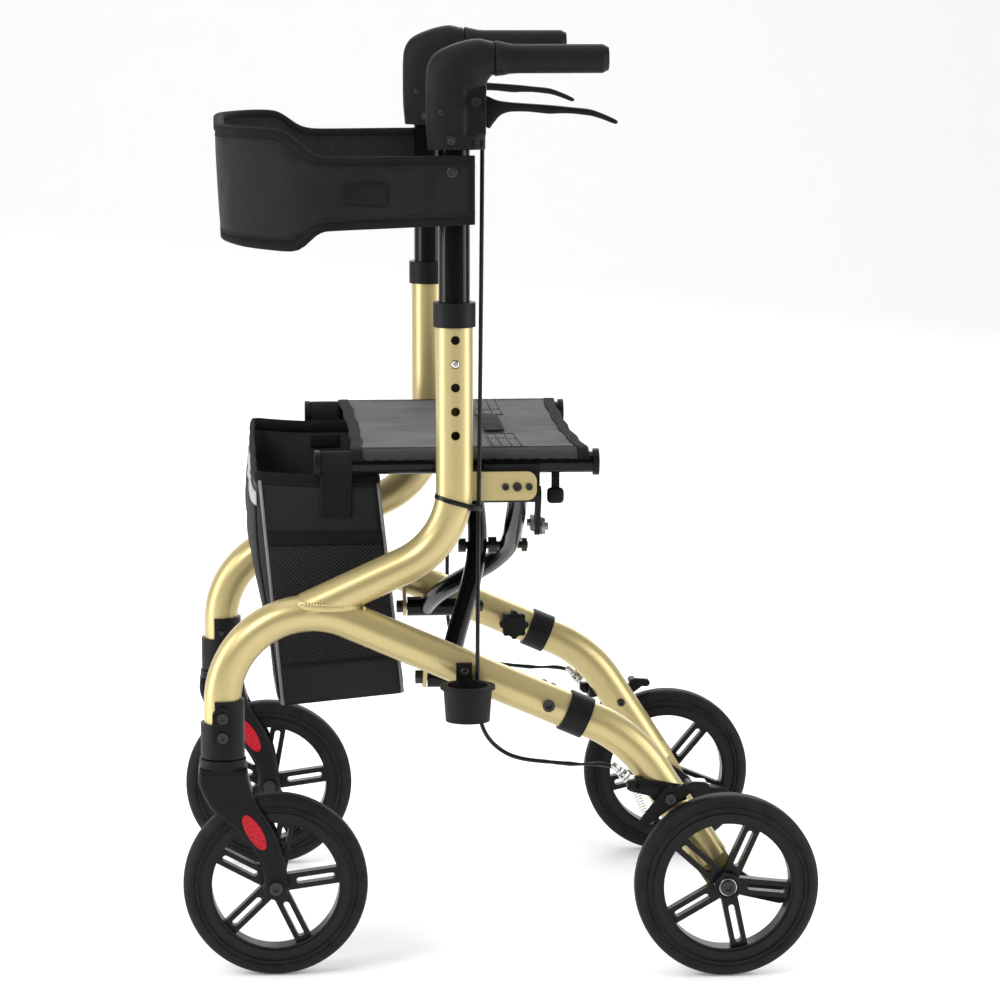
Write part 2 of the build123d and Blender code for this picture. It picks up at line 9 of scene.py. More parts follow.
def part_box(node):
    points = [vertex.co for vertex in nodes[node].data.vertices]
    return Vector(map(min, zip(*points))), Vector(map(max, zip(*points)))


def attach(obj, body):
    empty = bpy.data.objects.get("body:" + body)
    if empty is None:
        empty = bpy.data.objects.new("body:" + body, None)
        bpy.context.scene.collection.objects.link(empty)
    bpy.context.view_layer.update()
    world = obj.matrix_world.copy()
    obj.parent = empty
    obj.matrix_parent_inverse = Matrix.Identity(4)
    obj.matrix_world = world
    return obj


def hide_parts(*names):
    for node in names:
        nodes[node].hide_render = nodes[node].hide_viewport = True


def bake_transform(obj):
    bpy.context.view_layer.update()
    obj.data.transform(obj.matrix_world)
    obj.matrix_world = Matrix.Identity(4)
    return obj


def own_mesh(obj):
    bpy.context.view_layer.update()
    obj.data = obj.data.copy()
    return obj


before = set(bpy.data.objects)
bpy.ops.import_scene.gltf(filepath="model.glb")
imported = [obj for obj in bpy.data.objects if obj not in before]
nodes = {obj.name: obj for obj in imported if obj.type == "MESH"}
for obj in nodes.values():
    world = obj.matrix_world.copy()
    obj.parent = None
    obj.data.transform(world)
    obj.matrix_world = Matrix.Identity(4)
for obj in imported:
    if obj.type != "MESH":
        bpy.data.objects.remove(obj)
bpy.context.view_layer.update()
scene = bpy.context.scene
# plane half way between the side frames; the positions below are measured from it
MID_Y = (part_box("side_frame_left")[0][1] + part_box("side_frame_right")[1][1]) / 2
TAG = {-1: "left", 1: "right"}
UP = Vector((0, 0, 1))


# ---- materials
class Shader:
    """A node material with object-space procedural detail."""

    COAT_ROUGH = 0.12
    SHEEN_ROUGH = 0.4
    HOLE_SIZE = 1.7  # how steeply the threads of a net rise from its open cells

    def __init__(self, name, color, rough=0.5, metal=0.0, coat=0.0, sheen=0.0, spec=0.35):
        self.mat = bpy.data.materials.new(name)
        self.mat.use_nodes = True
        self.tree = self.mat.node_tree
        self.bsdf = self.tree.nodes["Principled BSDF"]
        looks = {"Base Color": (*color, 1), "Roughness": rough, "Metallic": metal,
                 "Coat Weight": coat, "Coat Roughness": self.COAT_ROUGH, "Sheen Weight": sheen,
                 "Sheen Roughness": self.SHEEN_ROUGH, "Specular IOR Level": spec}
        for key, value in looks.items():
            self.bsdf.inputs[key].default_value = value
        self.color = color
        self.coord = self.node("ShaderNodeTexCoord")
        self.normal = None

    def node(self, kind, **values):
        made = self.tree.nodes.new(kind)
        for key, value in values.items():
            if key in made.inputs:
                made.inputs[key].default_value = value
            else:
                setattr(made, key, value)
        return made

    def link(self, a, b):
        self.tree.links.new(a, b)

    def space(self, scale=(1, 1, 1)):
        """Object coordinates, stretched by a mapping."""
        mapping = self.node("ShaderNodeMapping", Scale=scale)
        self.link(self.coord.outputs["Object"], mapping.inputs["Vector"])
        return mapping.outputs["Vector"]

    def axes(self):
        """The x, y and z of the object coordinates."""
        split = self.node("ShaderNodeSeparateXYZ")
        self.link(self.coord.outputs["Object"], split.inputs[0])
        return split.outputs

    def noise(self, scale, detail=3.0, stretch=(1, 1, 1)):
        made = self.node("ShaderNodeTexNoise", Scale=scale, Detail=detail)
        self.link(self.space(stretch), made.inputs["Vector"])
        return made.outputs["Fac"]

    def cells(self, scale):
        made = self.node("ShaderNodeTexVoronoi", Scale=scale)
        self.link(self.space(), made.inputs["Vector"])
        return made.outputs["Distance"]

    def maths(self, op, a, b=0.0, c=0.0):
        made = self.node("ShaderNodeMath", operation=op)
        for i, value in enumerate((a, b, c)):
            if isinstance(value, (int, float)):
                made.inputs[i].default_value = value
            else:
                self.link(value, made.inputs[i])
        return made.outputs[0]

    def wave(self, freq, axis):
        """0..1 ripple along one axis, freq cycles per metre."""
        turned = self.maths("MULTIPLY", self.axes()[axis], freq * math.tau)
        return self.maths("MULTIPLY_ADD", self.maths("SINE", turned), 0.5, 0.5)

    def diamonds(self, pitch, wrap):
        """0 at the open cells of a diamond net, 1 on its threads.

        The net lies on upright faces, or with wrap on a face that rolls over a side rail.
        """
        axes = self.axes()
        off = self.maths("ABSOLUTE", self.maths("SUBTRACT", axes["Y"], MID_Y))
        along = axes["X"] if wrap else self.maths("ADD", axes["X"], off)
        up = self.maths("SUBTRACT", axes["Z"], off) if wrap else axes["Z"]
        turn = math.pi / pitch
        one = self.maths("SINE", self.maths("MULTIPLY", self.maths("ADD", along, up), turn))
        two = self.maths("SINE", self.maths("MULTIPLY", self.maths("SUBTRACT", along, up), turn))
        cell = self.maths("ABSOLUTE", self.maths("MULTIPLY", one, two))
        hole = self.maths("MINIMUM", self.maths("MULTIPLY", cell, self.HOLE_SIZE), 1.0)
        return self.maths("SUBTRACT", 1.0, hole)

    def bump(self, height, strength, distance):
        """Adds relief on top of the relief already there."""
        made = self.node("ShaderNodeBump", Strength=strength, Distance=distance)
        self.link(height, made.inputs["Height"])
        if self.normal is not None:
            self.link(self.normal, made.inputs["Normal"])
        self.normal = made.outputs["Normal"]
        self.link(self.normal, self.bsdf.inputs["Normal"])
        return self

    def vary_rough(self, fac, low, high):
        ranged = self.node("ShaderNodeMapRange", **{"To Min": low, "To Max": high})
        self.link(fac, ranged.inputs["Value"])
        self.link(ranged.outputs[0], self.bsdf.inputs["Roughness"])
        return self

    def vary_color(self, fac, other, low, high):
        """Blends towards another colour as fac goes from low to high."""
        ranged = self.node("ShaderNodeMapRange", **{"From Min": low, "From Max": high})
        self.link(fac, ranged.inputs["Value"])
        mix = self.node("ShaderNodeMix", data_type="RGBA")
        mix.inputs["A"].default_value = (*self.color, 1)
        mix.inputs["B"].default_value = (*other, 1)
        self.link(ranged.outputs[0], mix.inputs["Factor"])
        self.link(mix.outputs["Result"], self.bsdf.inputs["Base Color"])
        return self


def gold_paint():
    s = Shader("gold_paint", (0.52, 0.425, 0.19), 0.36, 0.62, 0.3)
    flakes = s.cells(2600)
    s.vary_color(s.noise(900, 2), (0.58, 0.48, 0.23), 0.35, 0.75)
    s.vary_rough(flakes, 0.31, 0.43)
    return s.bump(flakes, 0.05, 0.0001).bump(s.noise(60), 0.02, 0.001).mat


def plastic(name, tone, rough, grain, coat=0.0):
    s = Shader(name, (tone, tone, tone * 1.06), rough, 0.0, coat, 0.0, 0.18)
    s.vary_color(s.noise(35), (tone * 1.5, tone * 1.5, tone * 1.58), 0.35, 0.8)
    s.vary_rough(s.noise(120), rough - 0.06, rough + 0.08)
    return s.bump(s.cells(grain), 0.25, 0.00025).bump(s.noise(40, 1), 0.05, 0.001).mat


def gloss_tube():
    s = Shader("black_gloss_tube", (0.003, 0.003, 0.0034), 0.16, 0.0, 0.14, 0.0, 0.14)
    s.vary_rough(s.noise(90, 4), 0.10, 0.22)
    return s.bump(s.noise(25, 1), 0.03, 0.001).mat


def metal(name, tone, rough, metallic=1.0):
    s = Shader(name, (tone, tone, tone * 0.98), rough, metallic)
    s.vary_rough(s.noise(300, 4, stretch=(1, 6, 1)), rough - 0.08, rough + 0.12)
    return s.bump(s.noise(700, 3, stretch=(1, 5, 1)), 0.12, 0.0002).mat


def tyre_rubber():
    s = Shader("tyre_rubber", (0.0055, 0.0055, 0.006), 0.55, spec=0.18)
    s.vary_color(s.noise(60), (0.013, 0.013, 0.014), 0.3, 0.8)
    s.vary_rough(s.noise(200, 4), 0.52, 0.74)
    return s.bump(s.noise(900, 3), 0.3, 0.0003).mat


def reflector():
    s = Shader("red_reflector", (0.56, 0.004, 0.012), 0.22, 0.0, 0.3, 0.0, 0.15)
    cell = s.cells(520)
    s.vary_color(cell, (0.30, 0.0, 0.01), 0.15, 0.75)
    return s.bump(cell, 0.8, 0.0008).mat


HARD = {
    "gold": gold_paint(),
    "black": plastic("black_moulded_plastic", 0.0042, 0.46, 2200),
    "soft": plastic("soft_touch_black", 0.0062, 0.55, 3000),
    "wheel": plastic("wheel_plastic", 0.0040, 0.36, 1800, 0.1),
    "sheath": plastic("cable_sheath", 0.005, 0.32, 1500, 0.2),
    "tube": gloss_tube(),
    "dark_steel": metal("black_oxide_steel", 0.045, 0.34, 0.8),
    "zinc": metal("zinc_plate", 0.62, 0.30),
    "cast": metal("cast_grey_link", 0.30, 0.42, 0.75),
    "tyre": tyre_rubber(),
    "red": reflector(),
}

FINISH = {
    "gold": ("side_frame", "rear_leg"),
    "black": ("tube_collars", "caster_housing", "caster_fork", "star_knob", "tip_pedal",
              "brake_bracket", "brake_arm", "brake_lever", "rail_caps", "rail_cradle", "cane_cup",
              "seat", "backrest", "bag"),
    "soft": ("handle_housing", "grip"),
    "wheel": ("front_wheel", "rear_wheel"),
    "sheath": ("brake_cable",),
    "tube": ("height_tube", "cross_a", "cross_b"),
    "dark_steel": ("front_axle", "frame_bolts", "handle_screws", "cross_pivot"),
    "zinc": ("snap_button",),
    "cast": ("link",),
    "tyre": ("front_tyre", "rear_tyre"),
    "red": ("fork_reflectors",),
}
FINISH_OF = {base: finish for finish, bases in FINISH.items() for base in bases}

for name, obj in nodes.items():
    base = name.removesuffix("_left").removesuffix("_right")
    obj.data.materials.clear()
    obj.data.materials.append(HARD[FINISH_OF[base]])


# ---- fabrics
def weave(name, tone, freq, rough, sheen=0.06, depth=0.0004, spec=0.22):
    """Plain woven cloth: crossed ripples with a little fuzz and colour drift."""
    s = Shader(name, (tone, tone, tone * 1.03), rough, 0.0, 0.0, sheen, spec)
    ripple = s.maths("MULTIPLY", s.wave(freq, "X"), s.wave(freq, "Y"))
    crossed = s.maths("ADD", ripple, s.maths("MULTIPLY", s.wave(freq, "Z"), 0.6))
    s.vary_color(s.noise(18, 5), (tone * 1.6, tone * 1.6, tone * 1.65), 0.3, 0.8)
    return s.bump(crossed, 0.5, depth).bump(s.noise(90, 5), 0.25, 0.0012).mat


def net(name, tone, pitch, wrap=False, low=0.15, high=0.75):
    """Knitted net whose open cells read as dark holes; low and high set how thick it looks."""
    hole = tone * 0.10
    s = Shader(name, (hole, hole, hole), 0.8, 0.0, 0.0, 0.05, 0.25)
    thread = s.diamonds(pitch, wrap)
    s.vary_color(thread, (tone, tone, tone * 1.03), low, high)
    return s.bump(thread, 0.9, 0.0010).mat


CLOTH = {
    "seat": weave("seat_cloth", 0.082, 620, 0.80, 0.02, 0.00008, 0.06),
    "binding": weave("binding_tape", 0.0085, 1100, 0.85, 0.02, 0.0004, 0.08),
    "neoprene": weave("neoprene_cover", 0.0085, 1500, 0.88, 0.10, 0.00012),
    "webbing": weave("webbing", 0.0095, 480, 0.8, 0.02, 0.0006, 0.08),
    # the inside cloth is painted lighter than the outer bag cloth: painted light lifting the shade
    # inside the bag
    "bag": weave("bag_polyester", 0.0078, 1300, 0.55, 0.06, 0.00018),
    "inside": weave("bag_inside_painted_light", 0.024, 1300, 0.6, 0.06, 0.00018),
    "net": net("pocket_net", 0.030, 0.0042),
    "lining": net("spacer_lining", 0.026, 0.0046),
    "sleeve": net("sleeve_net", 0.115, 0.0036, True, 0.45, 0.95),
    "thread": weave("sewing_thread", 0.010, 2500, 0.6),
    "piping": weave("grey_piping", 0.15, 1400, 0.55, 0.2, 0.0002),
    "silver": weave("reflective_band", 0.28, 1700, 0.45, 0.1, 0.0002),
}


# ---- mesh tools
def squared(value, power):
    """Bends a sine or cosine towards a squarer outline."""
    return math.copysign(abs(value) ** power, value)


def mesh_object(name, verts, faces, material, shell=0.0):
    """A mesh piece; its points are given from the plane between the side frames."""
    data = bpy.data.meshes.new(name)
    data.from_pydata([(v[0], v[1] + MID_Y, v[2]) for v in verts], [], faces)
    bm = bmesh.new()
    bm.from_mesh(data)
    if shell:
        bmesh.ops.recalc_face_normals(bm, faces=bm.faces)
        bmesh.ops.solidify(bm, geom=bm.faces[:], thickness=shell)
    bmesh.ops.recalc_face_normals(bm, faces=bm.faces)
    bm.to_mesh(data)
    bm.free()
    data.materials.append(material)
    obj = bpy.data.objects.new(name, data)
    scene.collection.objects.link(obj)
    for poly in data.polygons:
        poly.use_smooth = True
    return obj


def loft(name, rings, material, closed=False):
    """Joins rings of equal length; the last joins the first if closed, else both ends are capped."""
    count, size = len(rings), len(rings[0])
    verts = [v for ring in rings for v in ring]
    faces = []
    for i in range(count if closed else count - 1):
        a, b = i * size, ((i + 1) % count) * size
        for j in range(size):
            k = (j + 1) % size
            faces.append((a + j, a + k, b + k, b + j))
    if not closed:
        faces.append(tuple(reversed(range(size))))
        faces.append(tuple(range((count - 1) * size, count * size)))
    return mesh_object(name, verts, faces, material)


def sheet(name, verts, rows, cols, material, thick, hole=None):
    """A thin closed sheet over a grid of points; hole is low x, high x, low |y|, high |y| in mm."""
    faces = []
    for a in [i * (cols + 1) + j for i in range(rows) for j in range(cols)]:
        mid = (verts[a] + verts[a + cols + 2]) * 500
        if not (hole and hole[0] < mid.x < hole[1] and hole[2] < abs(mid.y) < hole[3]):
            faces.append((a, a + 1, a + cols + 2, a + cols + 1))
    return mesh_object(name, verts, faces, material, thick / 1000)


def tangents(points, closed=False):
    n = len(points)
    out = []
    for i in range(n):
        a = points[(i - 1) % n] if closed or i else points[0]
        b = points[(i + 1) % n] if closed or i < n - 1 else points[-1]
        out.append((b - a).normalized())
    return out


def each(ups, points):
    """One up vector per point, from a list or a single vector."""
    return ups if isinstance(ups, list) else [ups] * len(points)


def strip(name, points, ups, wide, thick, material, closed=False, sides=12):
    """A strap or cord: superellipse section, wide across, thick along the up vector."""
    power = 0.5 if wide > 1.6 * thick else 1.0  # flat straps get squarer edges than cords
    rings = []
    for p, t, up in zip(points, tangents(points, closed), each(ups, points)):
        across = t.cross(up).normalized()
        lift = across.cross(t).normalized()
        ring = []
        for j in range(sides):
            a = math.tau * j / sides
            c, s = math.cos(a), math.sin(a)
            ring.append(p + across * (squared(c, power) * wide / 2)
                        + lift * (squared(s, power) * thick / 2))
        rings.append(ring)
    return loft(name, rings, material, closed)


def resample(points, step, closed=False):
    """Evenly spaced points along a polyline."""
    pts = list(points) + ([points[0]] if closed else [])
    lengths = [0.0]
    for a, b in zip(pts, pts[1:]):
        lengths.append(lengths[-1] + (b - a).length)
    count = max(2, int(lengths[-1] / step) + 1)
    out, k = [], 0
    last = count if closed else count - 1
    for i in range(count):
        want = lengths[-1] * i / last
        while k < len(pts) - 2 and lengths[k + 1] < want:
            k += 1
        span = lengths[k + 1] - lengths[k] or 1e-9
        out.append(pts[k].lerp(pts[k + 1], (want - lengths[k]) / span))
    return out


def curve_point(a, b, c, d, t):
    """Catmull-Rom point between b and c, for numbers or vectors."""
    return 0.5 * (2 * b + (c - a) * t + (2 * a - 5 * b + 4 * c - d) * t ** 2
                  + (3 * b - a - 3 * c + d) * t ** 3)


def neighbours(rows, i):
    """The four rows that shape the curve between row i and the next."""
    return rows[max(i - 1, 0)], rows[i], rows[i + 1], rows[min(i + 2, len(rows) - 1)]


def smooth_path(points, step):
    """Smooth curve through the points, resampled evenly."""
    dense = [curve_point(*neighbours(points, i), j / 12)
             for i in range(len(points) - 1) for j in range(12)]
    return resample(dense + [points[-1]], step)


def stitches(name, points, ups, pitch, length, zigzag=0.0, radius=0.00045):
    """A row of short raised threads along a path."""
    ups = each(ups, points)
    run = resample(points, pitch)
    verts, faces = [], []
    total = len(run)
    for i, p in enumerate(run):
        u = ups[min(len(ups) - 1, int(i / max(1, total - 1) * (len(ups) - 1)))]
        t = (run[min(i + 1, total - 1)] - run[max(i - 1, 0)]).normalized()
        side = t.cross(u).normalized()
        way = (t + side * (zigzag if i % 2 else -zigzag)).normalized()
        across = way.cross(u).normalized()
        base = len(verts)
        for end, r in ((-0.5, 0.3), (-0.25, 1.0), (0.25, 1.0), (0.5, 0.3)):
            for a in range(6):
                ang = math.tau * a / 6
                verts.append(p + way * end * length + across * math.cos(ang) * radius * r
                             + u * (math.sin(ang) * radius * r))
        for k in range(3):
            for a in range(6):
                b = (a + 1) % 6
                faces.append((base + k * 6 + a, base + k * 6 + b,
                              base + k * 6 + 6 + b, base + k * 6 + 6 + a))
    return mesh_object(name, verts, faces, CLOTH["thread"])


def mm(x, y, z):
    return Vector((x, y, z)) / 1000


def table(rows, v):
    """Straight-line interpolation through (key, value) rows with rising keys."""
    if v <= rows[0][0]:
        return rows[0][1]
    for (a, x), (b, y) in zip(rows, rows[1:]):
        if v <= b:
            return x + (y - x) * (v - a) / (b - a)
    return rows[-1][1]


def eased(rows, v, reach=6.0):
    """The same, with its corners rounded over a distance."""
    return sum(table(rows, v + reach * (k - 3) / 3) for k in range(7)) / 7


def surface(obj):
    """Search tree of a finished piece, for laying seams and beads on it."""
    done = obj.evaluated_get(bpy.context.evaluated_depsgraph_get())
    return BVHTree.FromPolygons([obj.matrix_world @ v.co for v in done.data.vertices],
                                [tuple(p.vertices) for p in done.data.polygons])


def lay(tree, point, way, lift):
    """Moves a point along way until it lies on the surface, then lifts it a little."""
    shift = Vector((0, MID_Y, 0))
    hit = tree.ray_cast(point + shift + way * 0.03, -way, 0.06)[0]
    return point if hit is None else hit - shift + way * lift


def dress(pieces, body, fold=None):
    """Fixes fabric pieces to a body and, if fold is given, gives each piece its own copy of its
    mesh.
    """
    for piece in pieces:
        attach(piece, body)
        if fold:
            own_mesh(piece)


PUFF_FRAMES = 20


def puff(obj, pressure, cap, voxel):
    """Swells a closed pad by cloth simulation and keeps each point within cap of its start."""
    bpy.context.view_layer.objects.active = obj
    for other in bpy.context.selected_objects:
        other.select_set(False)
    obj.select_set(True)
    remesh = obj.modifiers.new("remesh", "REMESH")
    remesh.mode = "VOXEL"
    remesh.voxel_size = voxel
    remesh.use_smooth_shade = True
    bpy.ops.object.modifier_apply(modifier="remesh")
    start = [v.co.copy() for v in obj.data.vertices]
    cloth = obj.modifiers.new("cloth", "CLOTH")
    cloth.settings.use_pressure = True
    cloth.settings.uniform_pressure_force = pressure
    cloth.settings.effector_weights.gravity = 0
    cloth.settings.quality = 4
    cloth.point_cache.frame_start = 1
    cloth.point_cache.frame_end = PUFF_FRAMES
    for number in range(1, PUFF_FRAMES + 1):
        scene.frame_set(number)
    bpy.ops.object.modifier_apply(modifier="cloth")
    scene.frame_set(1)
    for v, was in zip(obj.data.vertices, start):
        move = v.co - was
        if move.length > cap:
            v.co = was + move.normalized() * cap
    subsurf = obj.modifiers.new("smooth", "SUBSURF")
    subsurf.levels = subsurf.render_levels = 1
    for poly in obj.data.polygons:
        poly.use_smooth = True
    return obj


# ---- backrest
BACK_Y, BACK_X, BACK_R, BACK_END, BACK_STEP = 267.0, -282.0, 112.0, -27.0, 6.0
BACK_FOLD = {"axis": (0, 1, 0), "anchor": (0, MID_Y - 0.267, 0.8), "keep": 0.388}
BACK_TOP = [(-240, 871.5), (-222, 870.5), (-213, 866), (-201, 855), (-190, 846.5), (-180, 843.5),
            (-165, 843), (-20, 844)]
BACK_LOW = [(-282, 753), (-262, 750.5), (-222, 748.5), (-209, 748.5), (-202, 752), (-192, 763),
            (-181, 769), (-160, 770), (-20, 775.5)]


def back_path():
    """Plan of the strap: (x, y, outward x, outward y) from the left end to the right end."""
    straight = BACK_END - (BACK_X + BACK_R)
    arc = BACK_R * math.pi / 2
    front = 2 * (BACK_Y - BACK_R)
    total = 2 * straight + 2 * arc + front
    count = int(total / BACK_STEP)
    out = []
    for i in range(count + 1):
        s = total * i / count
        flip = s > total / 2
        if flip:
            s = total - s
        if s < straight:
            x, y, nx, ny = BACK_END - s, -BACK_Y, 0.0, -1.0
        elif s < straight + arc:
            a = (s - straight) / BACK_R
            x = BACK_X + BACK_R - BACK_R * math.sin(a)
            y = -BACK_Y + BACK_R - BACK_R * math.cos(a)
            nx, ny = -math.sin(a), -math.cos(a)
        else:
            x, y, nx, ny = BACK_X, -BACK_Y + BACK_R + (s - straight - arc), -1.0, 0.0
        out.append((x, -y, nx, -ny) if flip else (x, y, nx, ny))
    return out


def back_point(sample, level, off):
    """A point on the strap: level 0..1 from bottom to top, off outward in mm."""
    x, y, nx, ny = sample
    top, low = eased(BACK_TOP, x), eased(BACK_LOW, x)
    top -= 5.5 * max(0, min(1, (y + 120) / 240)) * max(0, min(1, (-185 - x) / 40))
    lean = 6.0 * (1 - level) * max(0.0, min(1.0, (-170 - x) / 112))
    return mm(x + nx * off + lean, y + ny * off, low + (top - low) * level)


def outward(sample):
    return Vector((sample[2], sample[3], 0))


def make_backrest():
    path = back_path()
    rings = []
    for sample in path:
        ring = []
        for j in range(28):
            a = math.tau * j / 28
            level = 0.5 + 0.48 * squared(math.sin(a), 0.45)
            pad = 2.8 + 0.8 * (1 - (2 * level - 1) ** 4)
            ring.append(back_point(sample, level, pad * squared(math.cos(a), 0.6)))
        rings.append(ring)
    pad = puff(loft("backrest_pad", rings, CLOTH["neoprene"]), 2.5, 0.0018, 0.004)
    pad.data.materials.append(CLOTH["lining"])
    for poly in pad.data.polygons:
        c = poly.center * 1000 - Vector((0, MID_Y * 1000, 0))
        inward = Vector((-c.x - 60 if c.x < -175 else 0, -c.y if abs(c.y) > 150 else 0, 0))
        if c.x < -84 and inward.length > 1 and poly.normal.dot(inward.normalized()) > 0.25:
            poly.material_index = 1
    tree = surface(pad)
    pieces = [pad]
    for label, level in (("top", 1.0), ("low", 0.0)):
        sink = Vector((0, 0, -0.0044 if level else 0.0044))
        line = [back_point(s, level, 0) + sink for s in path]
        pieces.append(strip(f"backrest_binding_{label}", line, UP,
                            0.0112, 0.0098, CLOTH["binding"], sides=20))
        for side, way in (("outer", 1), ("inner", -1)):
            row = [lay(tree, back_point(s, level, 0) + sink * 2.6, outward(s) * way, 0.0004)
                   for s in path]
            pieces.append(stitches(f"backrest_stitch_{label}_{side}", row,
                                   [outward(s) * way for s in path], 0.0030, 0.0034, 0.9))
    for side, tag in TAG.items():
        end = path[0 if side < 0 else -1]
        ends = [back_point(end, k / 8, 0) - Vector((0.0035, 0, 0)) for k in range(9)]
        pieces.append(strip(f"backrest_end_{tag}", ends, Vector((1, 0, 0)), 0.0114, 0.0085,
                            CLOTH["binding"], sides=20))
        for k, x in enumerate((-70.0, -75.0)):
            sample = (x, side * BACK_Y, 0.0, float(side))
            for face, way in (("outer", side), ("inner", -side)):
                ray = Vector((0, way, 0))
                row = [lay(tree, back_point(sample, 0.03 + 0.94 * i / 20, 0), ray, 0.0003)
                       for i in range(21)]
                pieces.append(stitches(f"backrest_seam_{tag}_{k}_{face}", row, ray,
                                       0.0034, 0.0027))
        loop = [(-160, 3.0), (-157, 5.8), (-148, 6.6), (-128, 8.6), (-120, 9.4), (-117, 8.6),
                (-116, 5.6), (-118, 4.2)]
        run = smooth_path([mm(x, side * (BACK_Y + off), 806) for x, off in loop], 0.002)
        pieces.append(strip(f"backrest_loop_{tag}", run, Vector((0, side, 0)),
                            0.0205, 0.0020, CLOTH["webbing"], sides=16))
    dress(pieces, "handle_left", BACK_FOLD)
    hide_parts("backrest")


make_backrest()


# ---- seat sling
RAIL_Y, RAIL_Z = 212, 526  # centre of each seat rail
SEAT_FRONT, SEAT_REAR, SEAT_TOP, SEAT_TIGHT = -149.0, 92.0, 540.6, 206
ROWS_X = (-3, 6, 16, 26)


def seat_edge(y, front):
    """Front or rear edge of the sling, slightly wavy and pulled in between the rails."""
    pull = 1 - min(1.0, abs(y) / 205) ** 2
    wave = 0.9 * math.sin(abs(y) / 17 + (0 if front else 2))
    return SEAT_FRONT + 3.0 * pull + wave if front else SEAT_REAR - 2.5 * pull + wave


def seat_height(x, y):
    """Top of the cloth: tight over the rails, slack towards the middle."""
    slack = 3.4 * (1 - min(1.0, abs(y) / SEAT_TIGHT) ** 2.2)
    rumple = 0.7 * noise.noise(Vector((x / 42, y / 30, 0.3)))
    crease = 0.3 * noise.noise(Vector((x / 15, y / 19, 4.0)))
    calm = 1 - math.exp(-((SEAT_TIGHT - abs(y)) / 22) ** 2)
    return SEAT_TOP - slack + (rumple + crease) * calm


def seat_sheet(name, side, x_range, y_range, lift, thick, material, cols, rows, hole=None):
    """Part of the sling as a thin closed sheet following its top surface."""
    verts = []
    for i in range(rows + 1):
        y = side * (y_range[0] + (y_range[1] - y_range[0]) * i / rows)
        lo, hi = max(seat_edge(y, True), x_range[0]), min(seat_edge(y, False), x_range[1])
        for j in range(cols + 1):
            x = lo + (hi - lo) * j / cols
            verts.append(mm(x, y, seat_height(x, y) + lift))
    return sheet(name, verts, rows, cols, material, thick, hole)


def make_seat(side):
    tag = TAG[side]
    slot = (-4, 20, 73, 81)
    panel = seat_sheet(f"seat_cloth_{tag}", side, (-200, 200), (0.2, 205), 0, 1.6, CLOTH["seat"],
                       80, 70, slot)
    pieces = [panel]
    # net sleeve over the rail
    profile = [(203, 540.9), (208, 540.5), (213, 539.8), (217, 538.3), (220, 536.3),
               (222.3, 533.8), (223.8, 531.0)]
    curve = smooth_path([mm(0, side * y, z) for y, z in profile], 0.0018)
    centre = mm(0, side * RAIL_Y, RAIL_Z)
    rings = []
    for i in range(61):
        x = (SEAT_FRONT + (SEAT_REAR - SEAT_FRONT) * i / 60) / 1000
        hem = -0.0006 * math.sin(i * 1.7)
        outer = [Vector((x, p.y, p.z + hem * k / len(curve))) for k, p in enumerate(curve)]
        inner = [p + Vector((0, centre.y - p.y, centre.z - p.z)).normalized() * 0.0012
                 for p in reversed(outer)]
        rings.append(outer + inner)
    pieces.append(loft(f"seat_sleeve_{tag}", rings, CLOTH["sleeve"]))
    for k, (y, z) in enumerate(((203.5, 541.3), (206.5, 541.0))):
        row = [mm(SEAT_FRONT + 3 + (SEAT_REAR - SEAT_FRONT - 6) * i / 60, side * y, z)
               for i in range(61)]
        pieces.append(stitches(f"seat_rail_seam_{tag}_{k}", row, UP, 0.0032, 0.0024))
    # bound front and rear edges, running down over the rail
    for label, front in (("front", True), ("rear", False)):
        inward = 5.0 if front else -5.0
        line = [mm(seat_edge(y, front) + inward, side * y,
                   seat_height(seat_edge(y, front), side * y) - 0.4)
                for y in [0.3 + 204 * i / 40 for i in range(41)]]
        line += [mm(seat_edge(205, front) + inward, side * y, z - 0.5) for y, z in profile[1:]]
        ups = [UP] * 41 + [(Vector((0, p.y - centre.y, p.z - centre.z))).normalized()
                           for p in line[41:]]
        pieces.append(strip(f"seat_binding_{label}_{tag}", line, ups, 0.0125, 0.0034,
                            CLOTH["binding"], sides=16))
        seam = [p + Vector((inward * 0.0009, 0, 0.0019)) for p in line[:41]]
        pieces.append(stitches(f"seat_edge_seam_{label}_{tag}", seam, UP, 0.0032,
                               0.0023))
    # sewn centre reinforcement with its rows of stitches
    for part, (y0, y1) in (("inner", (0.2, 72.5)), ("outer", (81.5, 203))):
        pieces.append(seat_sheet(f"seat_patch_{part}_{tag}", side, (ROWS_X[0] - 2, ROWS_X[-1] + 2),
                                 (y0, y1), 0.8, 0.8, CLOTH["seat"], 12, 30))
    for k, x in enumerate(ROWS_X):
        line = [mm(x, side * y, seat_height(x, side * y) + 1.0)
                for y in [83 + 119 * i / 30 for i in range(31)]]
        pieces.append(stitches(f"seat_row_{k}_{tag}", line, UP, 0.0034, 0.0028, radius=0.0006))
    for k, y in enumerate((83, 125)):
        line = [mm(x, side * y, seat_height(x, side * y) + 1.1) for x in range(-3, 27, 3)]
        pieces.append(stitches(f"seat_bar_{k}_{tag}", line, UP, 0.0034, 0.0028, radius=0.0006))
    arch = [(0.2, 543.0), (24, 542.9), (44, 542.0), (58, 541.0), (70, 540.6)]
    run = smooth_path([mm(7, side * y, z) for y, z in arch], 0.003)
    pieces.append(strip(f"seat_grab_strap_{tag}", run, UP, 0.022, 0.0020,
                        CLOTH["webbing"], sides=16))
    dress(pieces, f"seat_{tag}")
    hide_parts(f"seat_{tag}")


make_seat(-1)
make_seat(1)


